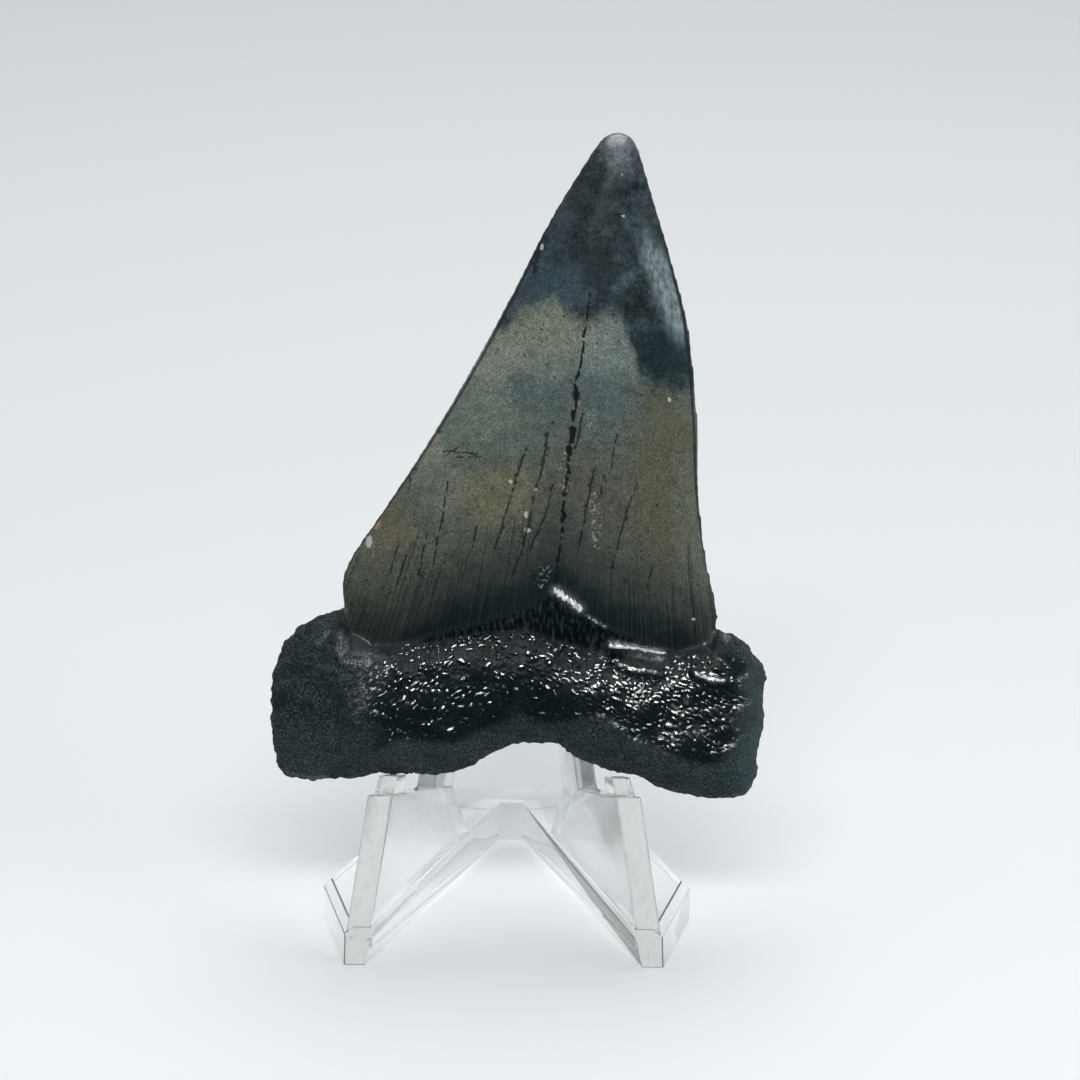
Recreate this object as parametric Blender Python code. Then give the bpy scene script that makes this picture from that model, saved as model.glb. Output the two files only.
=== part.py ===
"""Fossil shark tooth leaning in a small clear moulded display stand.

Metres, +Z up, X to the right, Y away from the side that the stand shows. The origin lies on the
table, below the middle of the whole.

The stand is laid out from the point midway between its two front feet. The tooth is laid out in its
own frame: x across, w up along its lean, n out of its bulged side. The fins of the stand use the same
lean, with v running back from the front of their nibs.
"""

import math

import bmesh
import bpy
import numpy as np
from mathutils import Matrix, Vector, noise

MM = 0.001

# How the pair stands
LEAN = math.radians(21.0)

# Base plate of the stand, a flat chevron. Half sizes across, in millimetres
FOOT_INNER_BOTTOM = 13.55
FOOT_INNER_TOP = 12.6
FOOT_OUTER_BOTTOM = 15.60
FOOT_OUTER_TOP = 15.45
EAR_X = 18.35
EAR_Y = 10.0
APEX_HALF = 1.25
APEX_Y = 26.7
REAR_Y = 30.2
TOE_IN = (FOOT_INNER_BOTTOM - APEX_HALF) / APEX_Y
BASE_THICKNESS = 4.15
BASE_RISE = 0.9
ARCH_BACK = 2.5
BASE_CHAMFER = 0.8

# Fins, in millimetres: v back from the nib's front, w up from the nib's top
NIB_TOP_Y = 5.33
NIB_TOP_Z = 18.04
FIN_INNER = 12.9
FIN_TOE = 0.43
FIN_THICKNESS = 2.4
FIN_SINK = 2.0
FIN_FOOT_Y = 0.06
FIN_REAR_Y = 21.5
NIB_TOP = -0.15
SEAT_LEVEL = -2.0
NIB_SETBACK = 0.3
NIB_DEPTH = 2.3
NIB_CHAMFER = 1.1
SEAT_BACK = 9.4
POST_TOP = 22.0
POST_THICKNESS = 2.0
POST_TIP_THICKNESS = 1.7
POST_DEPTH = 4.0
POST_TIP_DEPTH = 2.2
EDGE_ROUNDING = 0.12

# Where the tooth's own frame stands: behind the nibs' front, and up from their level
TOOTH_V = 5.5
TOOTH_LIFT = -0.2

# Crown, base to tip: left x, left w, right x, right w, front bulge, back bulge
CROWN_STATIONS = (
    (-13.6, 8.0, 18.8, 8.0, 2.0, 2.4),
    (-15.0, 12.4, 20.2, 12.4, 3.2, 2.8),
    (-16.1, 16.1, 21.0, 16.0, 4.2, 2.9),
    (-16.65, 18.2, 20.45, 18.3, 4.6, 2.8),
    (-15.85, 21.0, 19.8, 21.0, 4.8, 2.7),
    (-13.2, 24.9, 19.3, 24.6, 4.8, 2.6),
    (-9.2, 31.0, 18.9, 29.4, 4.6, 2.5),
    (-6.0, 36.3, 18.85, 34.0, 4.3, 2.4),
    (-3.0, 41.6, 18.4, 39.8, 3.9, 2.2),
    (0.25, 47.7, 17.7, 45.0, 3.4, 2.0),
    (3.1, 53.4, 16.2, 50.6, 2.8, 1.7),
    (5.05, 56.9, 15.2, 53.9, 2.4, 1.5),
    (6.75, 59.6, 14.2, 57.1, 2.0, 1.3),
    (8.3, 62.05, 13.1, 60.8, 1.4, 1.0),
    (9.1, 63.05, 12.6, 62.4, 1.1, 0.7),
    (9.7, 63.5, 11.9, 63.35, 0.6, 0.4),
)
CROWN_TIP = (10.8, 63.7)
CROWN_BEND = 0.7
CROWN_RELIEF = 0.14
CROWN_RELIEF_SIZE = 5.0
CUTTING_EDGE = 0.22
CROWN_SPACING = 1.6
CROWN_HALF_RING = 20

# Chevron where the enamel ends above the neck
NECK_PEAK = (4.6, 18.0)
NECK_SLOPE_LEFT = 0.42
NECK_SLOPE_RIGHT = 0.66
NECK_STEP = 0.4

# Root, left end to right end: x, bottom w, top w, front, back, bulge on the front
ROOT_STATIONS = (
    (-22.85, 6.2, 9.9, 1.2, 1.0, 0.0),
    (-22.35, 2.0, 11.1, 2.2, 1.9, 0.2),
    (-21.7, 0.2, 12.5, 3.1, 2.6, 0.5),
    (-20.1, -0.45, 14.1, 3.8, 3.1, 0.7),
    (-18.3, -0.2, 15.2, 4.2, 3.2, 0.9),
    (-16.2, -0.15, 15.9, 4.5, 3.2, 1.1),
    (-14.2, -0.1, 14.6, 4.7, 3.2, 1.4),
    (-12.6, 0.42, 13.6, 4.9, 3.2, 1.6),
    (-9.4, 0.42, 13.3, 4.9, 3.2, 1.8),
    (-6.4, 0.4, 13.4, 4.6, 3.2, 2.0),
    (-3.4, 1.3, 14.0, 4.5, 3.2, 2.2),
    (-0.5, 2.85, 14.4, 4.5, 3.2, 2.4),
    (2.4, 3.45, 14.2, 4.5, 3.2, 2.5),
    (5.4, 3.0, 13.2, 4.5, 3.2, 2.5),
    (8.4, 1.65, 12.4, 4.7, 3.2, 2.3),
    (11.3, 0.6, 12.0, 4.9, 3.2, 2.1),
    (12.8, 0.35, 12.0, 4.9, 3.2, 1.9),
    (14.4, -0.5, 12.2, 4.7, 3.2, 1.8),
    (17.2, -1.45, 13.0, 4.4, 3.2, 1.5),
    (20.1, -1.75, 14.2, 4.2, 3.1, 1.1),
    (22.1, -1.8, 13.7, 3.8, 2.9, 0.8),
    (23.6, -1.5, 12.7, 3.2, 2.6, 0.5),
    (24.3, 0.2, 11.8, 2.5, 2.2, 0.3),
    (24.85, 4.2, 11.0, 1.7, 1.6, 0.1),
    (25.2, 7.9, 10.2, 0.8, 0.8, 0.0),
)
ROOT_LEFT_POLE = (-23.1, 8.0)
ROOT_RIGHT_POLE = (25.35, 9.1)
ROOT_SPACING = 1.05
ROOT_RING = 44
ROOT_SECTION_STEPS = 240
ROOT_SQUARENESS = 3.0
ROOT_BULGE_AT = 0.64
ROOT_BULGE_SPREAD = 0.26
ROOT_BACK_LIMIT = 3.5

# Flat spots of the root's underside, over the nibs
REST_X = 11.6
REST_REACH = 2.2
REST_SQUARENESS = 5.0
REST_LEVEL = 0.38

# Lumps and hollows on the root's front: x, w, radius, height
ROOT_LUMPS = (
    (-14.6, 12.4, 2.2, 0.7),
    (-17.9, 10.8, 2.6, -0.5),
    (-20.6, 12.0, 1.9, 0.35),
    (-21.0, 4.2, 2.4, 0.3),
    (-14.8, 6.4, 1.7, 0.35),
    (-9.2, 10.4, 2.2, 0.4),
    (-4.6, 11.4, 2.0, 0.35),
    (1.4, 10.2, 2.6, 0.3),
    (6.6, 8.4, 2.4, 0.35),
    (12.6, 11.6, 1.9, 0.45),
    (16.4, 7.4, 2.4, -0.35),
    (19.6, 9.9, 1.7, 0.55),
    (21.6, 3.4, 2.4, 0.35),
)
ROOT_SWELL = 0.35
ROOT_SWELL_SIZE = 3.6
ROOT_WRINKLE = 0.9
ROOT_WRINKLE_SIZE = 2.2


def smooth_rows(rows, spacing):
    """Return rows of numbers read about every spacing from a smooth curve through the given rows."""
    points = np.array(rows, dtype=float)
    result = []
    for index in range(len(points) - 1):
        steps = max(1, round(np.abs(points[index + 1] - points[index]).max() / spacing))
        before = points[max(index - 1, 0)]
        start, end = points[index], points[index + 1]
        after = points[min(index + 2, len(points) - 1)]
        for step in range(steps):
            t = step / steps
            result.append(
                0.5 * (2 * start + (end - before) * t
                       + (2 * before - 5 * start + 4 * end - after) * t ** 2
                       + (3 * start - before - 3 * end + after) * t ** 3)
            )
    result.append(points[-1])
    return result


def leaning_place(x, v, w):
    """World place in metres of a point at x, v back and w up along the lean, from the nibs' top."""
    y = NIB_TOP_Y + v * math.cos(LEAN) + w * math.sin(LEAN)
    z = NIB_TOP_Z - v * math.sin(LEAN) + w * math.cos(LEAN)
    return Vector((x, y, z)) * MM


def tooth_place(x, n, w):
    """World place of a point given in the tooth's own frame, in millimetres."""
    return leaning_place(x, TOOTH_V - n, w + TOOTH_LIFT)


def make_object(name, mesh_data, material):
    """Turn a bmesh into a named object with its material and faces pointing out."""
    bmesh.ops.recalc_face_normals(mesh_data, faces=mesh_data.faces)
    mesh = bpy.data.meshes.new(name)
    mesh_data.to_mesh(mesh)
    mesh_data.free()
    piece = bpy.data.objects.new(name, mesh)
    if material is not None:
        mesh.materials.append(material)
    bpy.context.collection.objects.link(piece)
    return piece


def plain_material(name, color, roughness, transmission=0.0, ior=1.5):
    """Principled material with the piece's own colour and gloss."""
    material = bpy.data.materials.new(name)
    material.use_nodes = True
    shader = material.node_tree.nodes["Principled BSDF"]
    shader.inputs["Base Color"].default_value = (*color, 1.0)
    shader.inputs["Roughness"].default_value = roughness
    shader.inputs["Transmission Weight"].default_value = transmission
    shader.inputs["IOR"].default_value = ior
    return material


def union(target, pieces):
    """Join the pieces to the target as one solid, and remove them."""
    bpy.context.view_layer.objects.active = target
    for piece in pieces:
        modifier = target.modifiers.new("union", "BOOLEAN")
        modifier.operation = "UNION"
        modifier.solver = "EXACT"
        modifier.object = piece
        bpy.ops.object.modifier_apply(modifier=modifier.name)
        bpy.data.objects.remove(piece)


def skin_rings(mesh_data, rings):
    """Bridge closed rings of vertices that have equal counts."""
    for lower, upper in zip(rings, rings[1:]):
        for index, corner in enumerate(lower):
            following = (index + 1) % len(lower)
            mesh_data.faces.new((corner, lower[following], upper[following], upper[index]))


def close_ring(mesh_data, ring, pole):
    """Close a ring of vertices with a fan to a pole vertex."""
    for index, corner in enumerate(ring):
        mesh_data.faces.new((corner, ring[(index + 1) % len(ring)], pole))


def enamel_step(x, w):
    """How far the front of the crown stands out at a point, less on the neck below the enamel."""
    slope = NECK_SLOPE_LEFT if x < NECK_PEAK[0] else NECK_SLOPE_RIGHT
    above = w - (NECK_PEAK[1] - slope * abs(x - NECK_PEAK[0]))
    share = min(max(above / 1.2 + 0.5, 0.0), 1.0)
    return -NECK_STEP * (1 - share * share * (3 - 2 * share))


def crown():
    """Crown of the tooth: lens sections between two cutting edges, closed in a blunt tip."""
    mesh_data = bmesh.new()
    rings = []
    for left_x, left_w, right_x, right_w, front, back in smooth_rows(CROWN_STATIONS, CROWN_SPACING):
        middle_w = (left_w + right_w) / 2
        bend = -CROWN_BEND * math.sin(math.pi * min(max((middle_w - 16) / 48, 0.0), 1.0))
        ring = []
        for side in (1, -1):
            for index in range(CROWN_HALF_RING + 1):
                across = -side * math.cos(math.pi * index / CROWN_HALF_RING)
                fullness = max(1 - abs(across) ** 2.2, 0.0) ** 0.85
                share = (across + 1) / 2
                x = left_x + (right_x - left_x) * share
                w = left_w + (right_w - left_w) * share
                depth = (front if side > 0 else back) * fullness
                dent = CROWN_RELIEF * noise.noise(Vector((x, side * 9.0, w)) / CROWN_RELIEF_SIZE)
                if side > 0:
                    dent += enamel_step(x, w)
                n = side * (CUTTING_EDGE + depth + dent * fullness) + bend
                ring.append(mesh_data.verts.new(tooth_place(x, n, w)))
        rings.append(ring)
    skin_rings(mesh_data, rings)
    mesh_data.faces.new(rings[0])
    tip = mesh_data.verts.new(tooth_place(CROWN_TIP[0], 0.0, CROWN_TIP[1]))
    close_ring(mesh_data, rings[-1], tip)
    return make_object("crown", mesh_data, None)


def root_section_point(angle, x, bottom, top, front, back, bulge):
    """Height w and depth n of one point round a section of the root."""
    near_rest = math.exp(-((abs(x) - REST_X) / REST_REACH) ** 2)
    sine, cosine = math.sin(angle), math.cos(angle)
    squareness = ROOT_SQUARENESS
    if sine < 0:
        squareness += REST_SQUARENESS * near_rest
    height = math.copysign(abs(sine) ** (2 / squareness), sine)
    depth = math.copysign(abs(cosine) ** (2 / squareness), cosine)
    w = (bottom + top) / 2 + height * (top - bottom) / 2
    n = depth * (front if cosine > 0 else back)
    if cosine > 0:
        level = ((height + 1) / 2 - ROOT_BULGE_AT) / ROOT_BULGE_SPREAD
        n += bulge * math.exp(-level ** 2) * depth
    return w, n


def root_relief(place):
    """Swelling of the root's surface at a point given as x, n, w in the tooth's own frame."""
    relief = ROOT_SWELL * noise.noise(place / ROOT_SWELL_SIZE)
    relief += ROOT_WRINKLE * (0.3 - abs(noise.noise(place / ROOT_WRINKLE_SIZE)))
    x, n, w = place
    for lump_x, lump_w, radius, height in ROOT_LUMPS:
        distance = ((x - lump_x) ** 2 + (w - lump_w) ** 2) / radius ** 2
        if n > 0:
            relief += height * math.exp(-distance)
    return relief


def evenly_round(points, count):
    """Return count points evenly spaced round a closed line of points."""
    closed = np.vstack((points, points[:1]))
    travelled = np.concatenate(([0.0], np.cumsum(np.linalg.norm(np.diff(closed, axis=0), axis=1))))
    wanted = np.arange(count) * travelled[-1] / count
    return np.column_stack([np.interp(wanted, travelled, closed[:, axis]) for axis in range(2)])


def root():
    """Root of the tooth: rounded sections from the left lobe over the arch to the right lobe."""
    mesh_data = bmesh.new()
    rings = []
    angles = [2 * math.pi * index / ROOT_SECTION_STEPS for index in range(ROOT_SECTION_STEPS)]
    for x, *section in smooth_rows(ROOT_STATIONS, ROOT_SPACING):
        outline = np.array([root_section_point(angle, x, *section) for angle in angles])
        rings.append([mesh_data.verts.new((x, n, w)) for w, n in evenly_round(outline, ROOT_RING)])
    skin_rings(mesh_data, rings)
    close_ring(mesh_data, rings[0], mesh_data.verts.new((ROOT_LEFT_POLE[0], 0.0, ROOT_LEFT_POLE[1])))
    close_ring(mesh_data, rings[-1], mesh_data.verts.new((ROOT_RIGHT_POLE[0], 0.0, ROOT_RIGHT_POLE[1])))
    bmesh.ops.recalc_face_normals(mesh_data, faces=mesh_data.faces)
    mesh_data.normal_update()
    for vertex in mesh_data.verts:
        vertex.co += vertex.normal * root_relief(vertex.co)
    for vertex in mesh_data.verts:
        x, n, w = vertex.co
        n = max(n, -ROOT_BACK_LIMIT)
        if abs(abs(x) - REST_X) < REST_REACH:
            w = max(w, REST_LEVEL)
        vertex.co = tooth_place(x, n, w)
    return make_object("root", mesh_data, None)


def tooth():
    """The whole tooth as one solid."""
    material = plain_material("fossil_tooth", (0.045, 0.05, 0.045), 0.35)
    piece = crown()
    piece.name = "tooth"
    piece.data.name = "tooth"
    piece.data.materials.append(material)
    union(piece, [root()])
    return piece


def base_plate():
    """Chevron base: flat on the table, its underside arched up towards the inner corner."""
    mesh_data = bmesh.new()

    def corner(x, y, z):
        return mesh_data.verts.new(Vector((x, y, z)) * MM)

    def top_level(y):
        return BASE_THICKNESS + BASE_RISE * y / APEX_Y

    rear_x = EAR_X - (REAR_Y - EAR_Y) * TOE_IN
    top, bottom, flat = [], [], []
    for side in (1, -1):
        outline = [
            (APEX_HALF, APEX_HALF, APEX_Y, BASE_RISE),
            (FOOT_INNER_TOP, FOOT_INNER_BOTTOM, 0.0, 0.0),
            (FOOT_OUTER_TOP, FOOT_OUTER_BOTTOM, 0.0, 0.0),
            (EAR_X, EAR_X, EAR_Y, 0.0),
            (rear_x, rear_x, REAR_Y, 0.0),
        ]
        arch_foot = corner(side * APEX_HALF * 1.6, APEX_Y + ARCH_BACK, 0.0)
        upper = [corner(side * x, y, top_level(y)) for x, _, y, _ in outline]
        lower = [corner(side * x, y, z) for _, x, y, z in outline]
        top.append(upper)
        bottom.append(lower)
        flat.append(arch_foot)
    right_top, left_top = top
    right_bottom, left_bottom = bottom
    mesh_data.faces.new(right_top + left_top[::-1])
    mesh_data.faces.new([flat[0]] + right_bottom[1:] + left_bottom[:0:-1] + [flat[1]])
    for upper, lower, arch_foot in zip(top, bottom, flat):
        for index in range(4):
            mesh_data.faces.new((upper[index], upper[index + 1], lower[index + 1], lower[index]))
        mesh_data.faces.new((lower[0], lower[1], arch_foot))
    mesh_data.faces.new((right_top[0], left_top[0], left_bottom[0], right_bottom[0]))
    mesh_data.faces.new((right_top[4], left_top[4], left_bottom[4], right_bottom[4]))
    mesh_data.faces.new((right_bottom[0], left_bottom[0], flat[1], flat[0]))
    outer_edges = [
        mesh_data.edges.get((upper[index], upper[index + 1])) for upper in top for index in (2, 3)
    ]
    bmesh.ops.bevel(mesh_data, geom=outer_edges, offset=BASE_CHAMFER * MM, segments=1,
                    affect="EDGES", clamp_overlap=True)
    return make_object("display_stand", mesh_data, None)


def fin(side):
    """One upright fin: slanted front, chamfered nib, seat and rear post, sunk into the base."""
    mesh_data = bmesh.new()
    inner_corners = {}

    def corner(y, z, t):
        x = side * (FIN_INNER - FIN_TOE * y + t)
        return mesh_data.verts.new(Vector((x, y, z)) * MM)

    def leaning(v, w, t):
        key = (round(v, 3), round(w, 3), round(t, 3))
        if key not in inner_corners:
            place = leaning_place(0.0, v, w) / MM
            inner_corners[key] = corner(place.y, place.z, t)
        return inner_corners[key]

    seat = SEAT_LEVEL
    wide = FIN_THICKNESS
    nib_back = NIB_SETBACK + NIB_DEPTH
    chamfer_v = NIB_SETBACK + NIB_CHAMFER * 0.9
    chamfer_t = wide - NIB_CHAMFER
    post_back = SEAT_BACK + POST_DEPTH
    foot = {}
    for t in (0.0, wide):
        foot[t] = [
            corner(FIN_REAR_Y, FIN_SINK, t),
            corner(FIN_FOOT_Y, FIN_SINK, t),
            corner(FIN_FOOT_Y, BASE_THICKNESS, t),
        ]
    inner_top = [leaning(v, seat, 0.0) for v in (0.0, NIB_SETBACK, nib_back, SEAT_BACK, post_back)]
    outer_top = [leaning(v, seat, wide) for v in (0.0, chamfer_v, nib_back, post_back)]
    mesh_data.faces.new(foot[0.0] + inner_top)
    mesh_data.faces.new(foot[wide] + outer_top)
    front_inner, front_outer = inner_top[0], outer_top[0]
    mesh_data.faces.new((foot[0.0][0], foot[0.0][1], foot[wide][1], foot[wide][0]))
    mesh_data.faces.new((foot[0.0][1], foot[0.0][2], foot[wide][2], foot[wide][1]))
    mesh_data.faces.new((foot[0.0][2], front_inner, front_outer, foot[wide][2]))
    mesh_data.faces.new((foot[0.0][0], foot[wide][0], outer_top[-1], leaning(post_back, seat, POST_THICKNESS),
                         inner_top[-1]))
    nib_foot = [
        inner_top[1],
        leaning(NIB_SETBACK, seat, chamfer_t),
        outer_top[1],
        outer_top[2],
        inner_top[2],
    ]
    mesh_data.faces.new((front_inner, front_outer, outer_top[1], nib_foot[1], inner_top[1]))
    post_foot = [
        inner_top[3],
        leaning(SEAT_BACK, seat, POST_THICKNESS),
        leaning(post_back, seat, POST_THICKNESS),
        inner_top[4],
    ]
    mesh_data.faces.new((inner_top[2], outer_top[2], outer_top[3], post_foot[2], post_foot[1], post_foot[0]))
    nib_top = [
        leaning(NIB_SETBACK, NIB_TOP, 0.05),
        leaning(NIB_SETBACK, NIB_TOP, chamfer_t),
        leaning(chamfer_v - 0.25, NIB_TOP, wide - 0.35),
        leaning(nib_back - 0.1, NIB_TOP, wide - 0.35),
        leaning(nib_back - 0.1, NIB_TOP, 0.05),
    ]
    post_top = [
        leaning(SEAT_BACK, POST_TOP, 0.15),
        leaning(SEAT_BACK, POST_TOP, POST_TIP_THICKNESS + 0.15),
        leaning(SEAT_BACK + POST_TIP_DEPTH, POST_TOP, POST_TIP_THICKNESS + 0.15),
        leaning(SEAT_BACK + POST_TIP_DEPTH, POST_TOP, 0.15),
    ]
    skin_rings(mesh_data, [nib_foot, nib_top])
    skin_rings(mesh_data, [post_foot, post_top])
    mesh_data.faces.new(nib_top)
    mesh_data.faces.new(post_top)
    bmesh.ops.recalc_face_normals(mesh_data, faces=mesh_data.faces)
    sharp = [edge for edge in mesh_data.edges if edge.calc_face_angle(0.0) > math.radians(12)]
    bmesh.ops.bevel(mesh_data, geom=sharp, offset=EDGE_ROUNDING * MM, segments=2, profile=0.5,
                    affect="EDGES", clamp_overlap=True)
    return make_object("fin", mesh_data, None)


def display_stand():
    """The clear stand as one moulded solid."""
    material = plain_material("clear_plastic", (0.95, 0.97, 0.97), 0.05, transmission=1.0, ior=1.49)
    piece = base_plate()
    piece.data.materials.append(material)
    union(piece, [fin(1), fin(-1)])
    return piece


def centre_on_table(pieces):
    """Move the pieces so that the origin lies on the table below the middle of the whole."""
    corners = np.array([vertex.co for piece in pieces for vertex in piece.data.vertices])
    middle = (corners.min(axis=0) + corners.max(axis=0)) / 2
    for piece in pieces:
        piece.data.transform(Matrix.Translation((-middle[0], -middle[1], 0.0)))


def main():
    """Clear the scene and build the tooth and its stand."""
    for leftover in list(bpy.data.objects):
        bpy.data.objects.remove(leftover, do_unlink=True)
    pieces = [display_stand(), tooth()]
    centre_on_table(pieces)
    for piece in pieces:
        piece.data.shade_smooth()
        piece.data.set_sharp_from_angle(angle=math.radians(30))


main()
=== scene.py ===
"""Fossil shark tooth on a small clear display stand: looks, studio and camera.

Laid out as a Blender add-on and run as a script. Lengths are metres unless a name says millimetres.
The tooth is described in its own frame, in millimetres: x across, n out of its bulged side and w up
along its lean, from the level of the stand's nibs.
"""

import math

import bpy
import numpy as np
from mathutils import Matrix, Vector, noise


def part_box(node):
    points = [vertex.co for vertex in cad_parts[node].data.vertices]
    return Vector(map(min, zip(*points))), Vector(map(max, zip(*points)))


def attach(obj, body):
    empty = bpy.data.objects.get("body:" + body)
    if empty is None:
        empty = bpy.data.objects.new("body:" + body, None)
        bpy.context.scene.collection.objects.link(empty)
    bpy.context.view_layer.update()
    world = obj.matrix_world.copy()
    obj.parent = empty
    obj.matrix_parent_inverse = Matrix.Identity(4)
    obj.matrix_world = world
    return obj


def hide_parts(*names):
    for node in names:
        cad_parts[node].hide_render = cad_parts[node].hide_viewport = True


bl_info = {
    "name": "Fossil Tooth on a Clear Stand",
    "version": (1, 0, 0),
    "blender": (4, 5, 0),
    "location": "View3D > Sidebar > Fossil Tooth",
    "description": "Finishes the leaning fossil tooth, its clear stand and the studio around them",
    "category": "Object",
}

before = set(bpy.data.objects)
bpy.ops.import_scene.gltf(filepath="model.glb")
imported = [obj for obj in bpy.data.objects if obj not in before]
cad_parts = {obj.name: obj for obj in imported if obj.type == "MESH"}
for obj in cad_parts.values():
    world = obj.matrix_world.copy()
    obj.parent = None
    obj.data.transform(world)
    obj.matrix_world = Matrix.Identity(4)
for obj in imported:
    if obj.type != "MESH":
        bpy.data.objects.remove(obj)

MM = 0.001

# Lean of the tooth's own frame, and its place in millimetres from the point midway between the
# stand's front feet
LEAN = math.radians(21.0)
TOOTH_Y = 10.393
TOOTH_Z = 15.882

# Camera: its place in millimetres from the same point, its tilt and its turn
CAMERA_X = 9.05
CAMERA_Y = -284.5
CAMERA_Z = 150.9
CAMERA_TILT = math.radians(69.5)
CAMERA_TURN = math.radians(1.105)

stand_low, stand_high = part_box("display_stand")
FEET_X = (stand_low.x + stand_high.x) / 2
FEET_Y = stand_low.y
TOOTH_ORIGIN = Vector((FEET_X, FEET_Y + TOOTH_Y * MM, TOOTH_Z * MM))

# Lower edge of the smooth neck, where the wrinkled root begins: x, w
WRINKLE_TOP = (
    (-15.5, 12.6), (-10.9, 12.4), (-9.7, 12.9), (-7.2, 12.9), (-5.6, 13.1), (-3.4, 13.9), (-0.2, 14.1),
    (2.4, 14.1), (3.7, 13.0), (4.7, 13.3), (6.4, 12.7), (7.3, 12.5), (10.3, 11.4), (12.4, 11.0),
    (15.4, 10.9), (17.8, 12.2), (21.5, 12.0),
)
# Lower edge of the wrinkles, over the smoother band along the base: x, w
WRINKLE_BOTTOM = (
    (-16.0, 1.9), (-12.6, 2.5), (-10.1, 3.6), (-5.3, 3.3), (-2.8, 4.3), (1.6, 6.3), (4.2, 5.2),
    (9.6, 6.2), (12.4, 3.9), (15.2, 2.8), (18.0, 1.6), (20.8, 1.3), (23.2, 3.5),
)
# Right end of the wrinkles: its slant about a middle level w, and the depth and pace of its waves
END_SLANT = 0.15
END_MIDDLE = 6.0
END_WAVE = 0.5
END_PACE = 1.9
# Border where the enamel ends above the smooth neck: x, w
ENAMEL_EDGE = (
    (-16.5, 12.0), (-11.6, 12.2), (-6.6, 13.9), (-2.4, 15.0), (1.5, 16.2), (4.7, 18.0), (7.1, 16.2),
    (9.8, 14.6), (13.6, 13.1), (17.0, 12.0), (21.0, 12.0),
)
# Outer ends of the crown's base, beside which the lobes of the root begin: w, x
CROWN_LEFT = ((8.0, -13.6), (12.4, -15.0), (16.1, -16.1), (18.2, -16.9))
CROWN_RIGHT = ((8.0, 18.8), (12.4, 20.2), (16.0, 21.0), (18.3, 20.9))

# Base of the root, from lobe to lobe: x, w
BASE_LINE = (
    (-22.3, 2.0), (-20.1, -0.4), (-12.6, 0.4), (-6.4, 0.4), (-3.4, 1.3), (-0.5, 2.8), (2.4, 3.4),
    (5.4, 3.0), (8.4, 1.6), (11.3, 0.6), (14.4, -0.5), (20.1, -1.7), (24.3, 0.2),
)
# How far the ledge beside the crown's base lies below its plain shape: x, drop in millimetres
LEDGE_DROP = (
    (-16.6, 0.0), (-15.4, 2.5), (-14.2, 2.4), (-12.6, 1.5), (-9.4, 0.7), (-7.0, 0.0), (12.5, 0.0),
    (14.4, 0.5), (17.2, 1.2), (20.1, 0.9), (21.3, 0.0),
)
# Level of that ledge before it is lowered: x, w
LEDGE_TOP = (
    (-16.2, 15.9), (-14.2, 14.6), (-12.6, 13.6), (-9.4, 13.3), (12.5, 12.0), (14.4, 12.2), (17.2, 13.0),
    (20.1, 14.2),
)

# Ridges on the front of the root: name, line of (x, w) points, reach, height, all in millimetres
RIDGES = (
    ("neck_ridge", ((10.2, 12.9), (12.4, 12.4), (15.2, 11.8)), 0.80, 0.60),
    ("neck_groove", ((10.4, 11.7), (12.4, 11.2), (15.4, 10.6)), 0.50, -0.35),
    ("second_ridge", ((10.6, 10.9), (12.6, 10.3), (15.2, 9.9)), 0.60, 0.35),
    ("end_ridge", ((18.4, 10.15), (20.2, 9.6), (22.0, 9.25)), 0.60, 0.50),
    ("flake_rim", ((-16.4, 13.4), (-16.5, 12.0), (-15.8, 10.9), (-14.6, 10.8), (-13.2, 10.9)), 0.42, 0.38),
    ("lobe_cut", ((-21.8, 9.6), (-19.6, 10.2), (-17.6, 11.4), (-16.7, 12.8)), 1.1, -0.30),
    ("lobe_edge", ((-22.5, 9.6), (-20.6, 11.8), (-18.8, 13.0), (-17.6, 14.2)), 0.6, 0.20),
    ("lobe_rib", ((-15.0, 9.2), (-14.4, 7.4), (-13.8, 6.0)), 0.30, 0.22),
    ("low_ridge", ((-8.9, 5.4), (-6.9, 5.0), (-4.9, 4.2)), 0.60, 0.35),
    ("first_rib", ((1.9, 15.6), (1.8, 13.6)), 0.45, 0.12),
    ("second_rib", ((3.7, 16.4), (3.8, 13.2)), 0.45, 0.14),
    ("third_rib", ((5.3, 16.4), (5.5, 13.0)), 0.45, 0.14),
    ("fourth_rib", ((7.0, 15.8), (7.2, 12.6)), 0.45, 0.12),
)
# Pale broken edges and crusts, and painted highlights of the root's ridges, chips and edges: line of (x, w)
# points, reach, strength
PALE_AND_GLINT_LINES = (
    (((-16.2, 13.6), (-16.3, 12.2), (-15.7, 11.1), (-14.6, 10.8), (-13.2, 10.8)), 0.55, 0.42),
    (((-15.3, 12.6), (-13.6, 11.9)), 1.5, 0.30),
    # Painted glints of the chips at the chevron, of the edge beside them and of the ridges below the neck
    (((4.9, 18.2), (5.8, 17.6), (7.2, 16.5)), 0.95, 1.0),
    (((7.8, 15.8), (9.8, 14.6)), 0.20, 0.9),
    (((10.3, 12.9), (12.4, 12.5), (15.1, 11.9)), 0.85, 1.0),
    (((11.2, 10.8), (12.6, 10.35), (14.5, 10.3)), 0.32, 0.85),
    (((18.7, 9.95), (20.0, 9.6), (21.1, 9.5)), 0.26, 1.0),
    (((21.2, 14.3), (21.6, 13.4)), 0.55, 0.5),
    (((19.3, 13.1), (20.4, 12.0), (21.6, 11.0)), 0.14, 0.5),
    (((-18.4, 12.7), (-17.4, 13.9)), 0.35, 0.25),
    (((-15.3, 8.6), (-14.8, 7.0)), 0.14, 0.5),
    (((-13.9, 8.4), (-13.3, 6.4)), 0.12, 0.5),
    (((-21.4, 0.4), (-19.6, -0.2), (-17.8, 0.0)), 0.35, 0.35),
)
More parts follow.
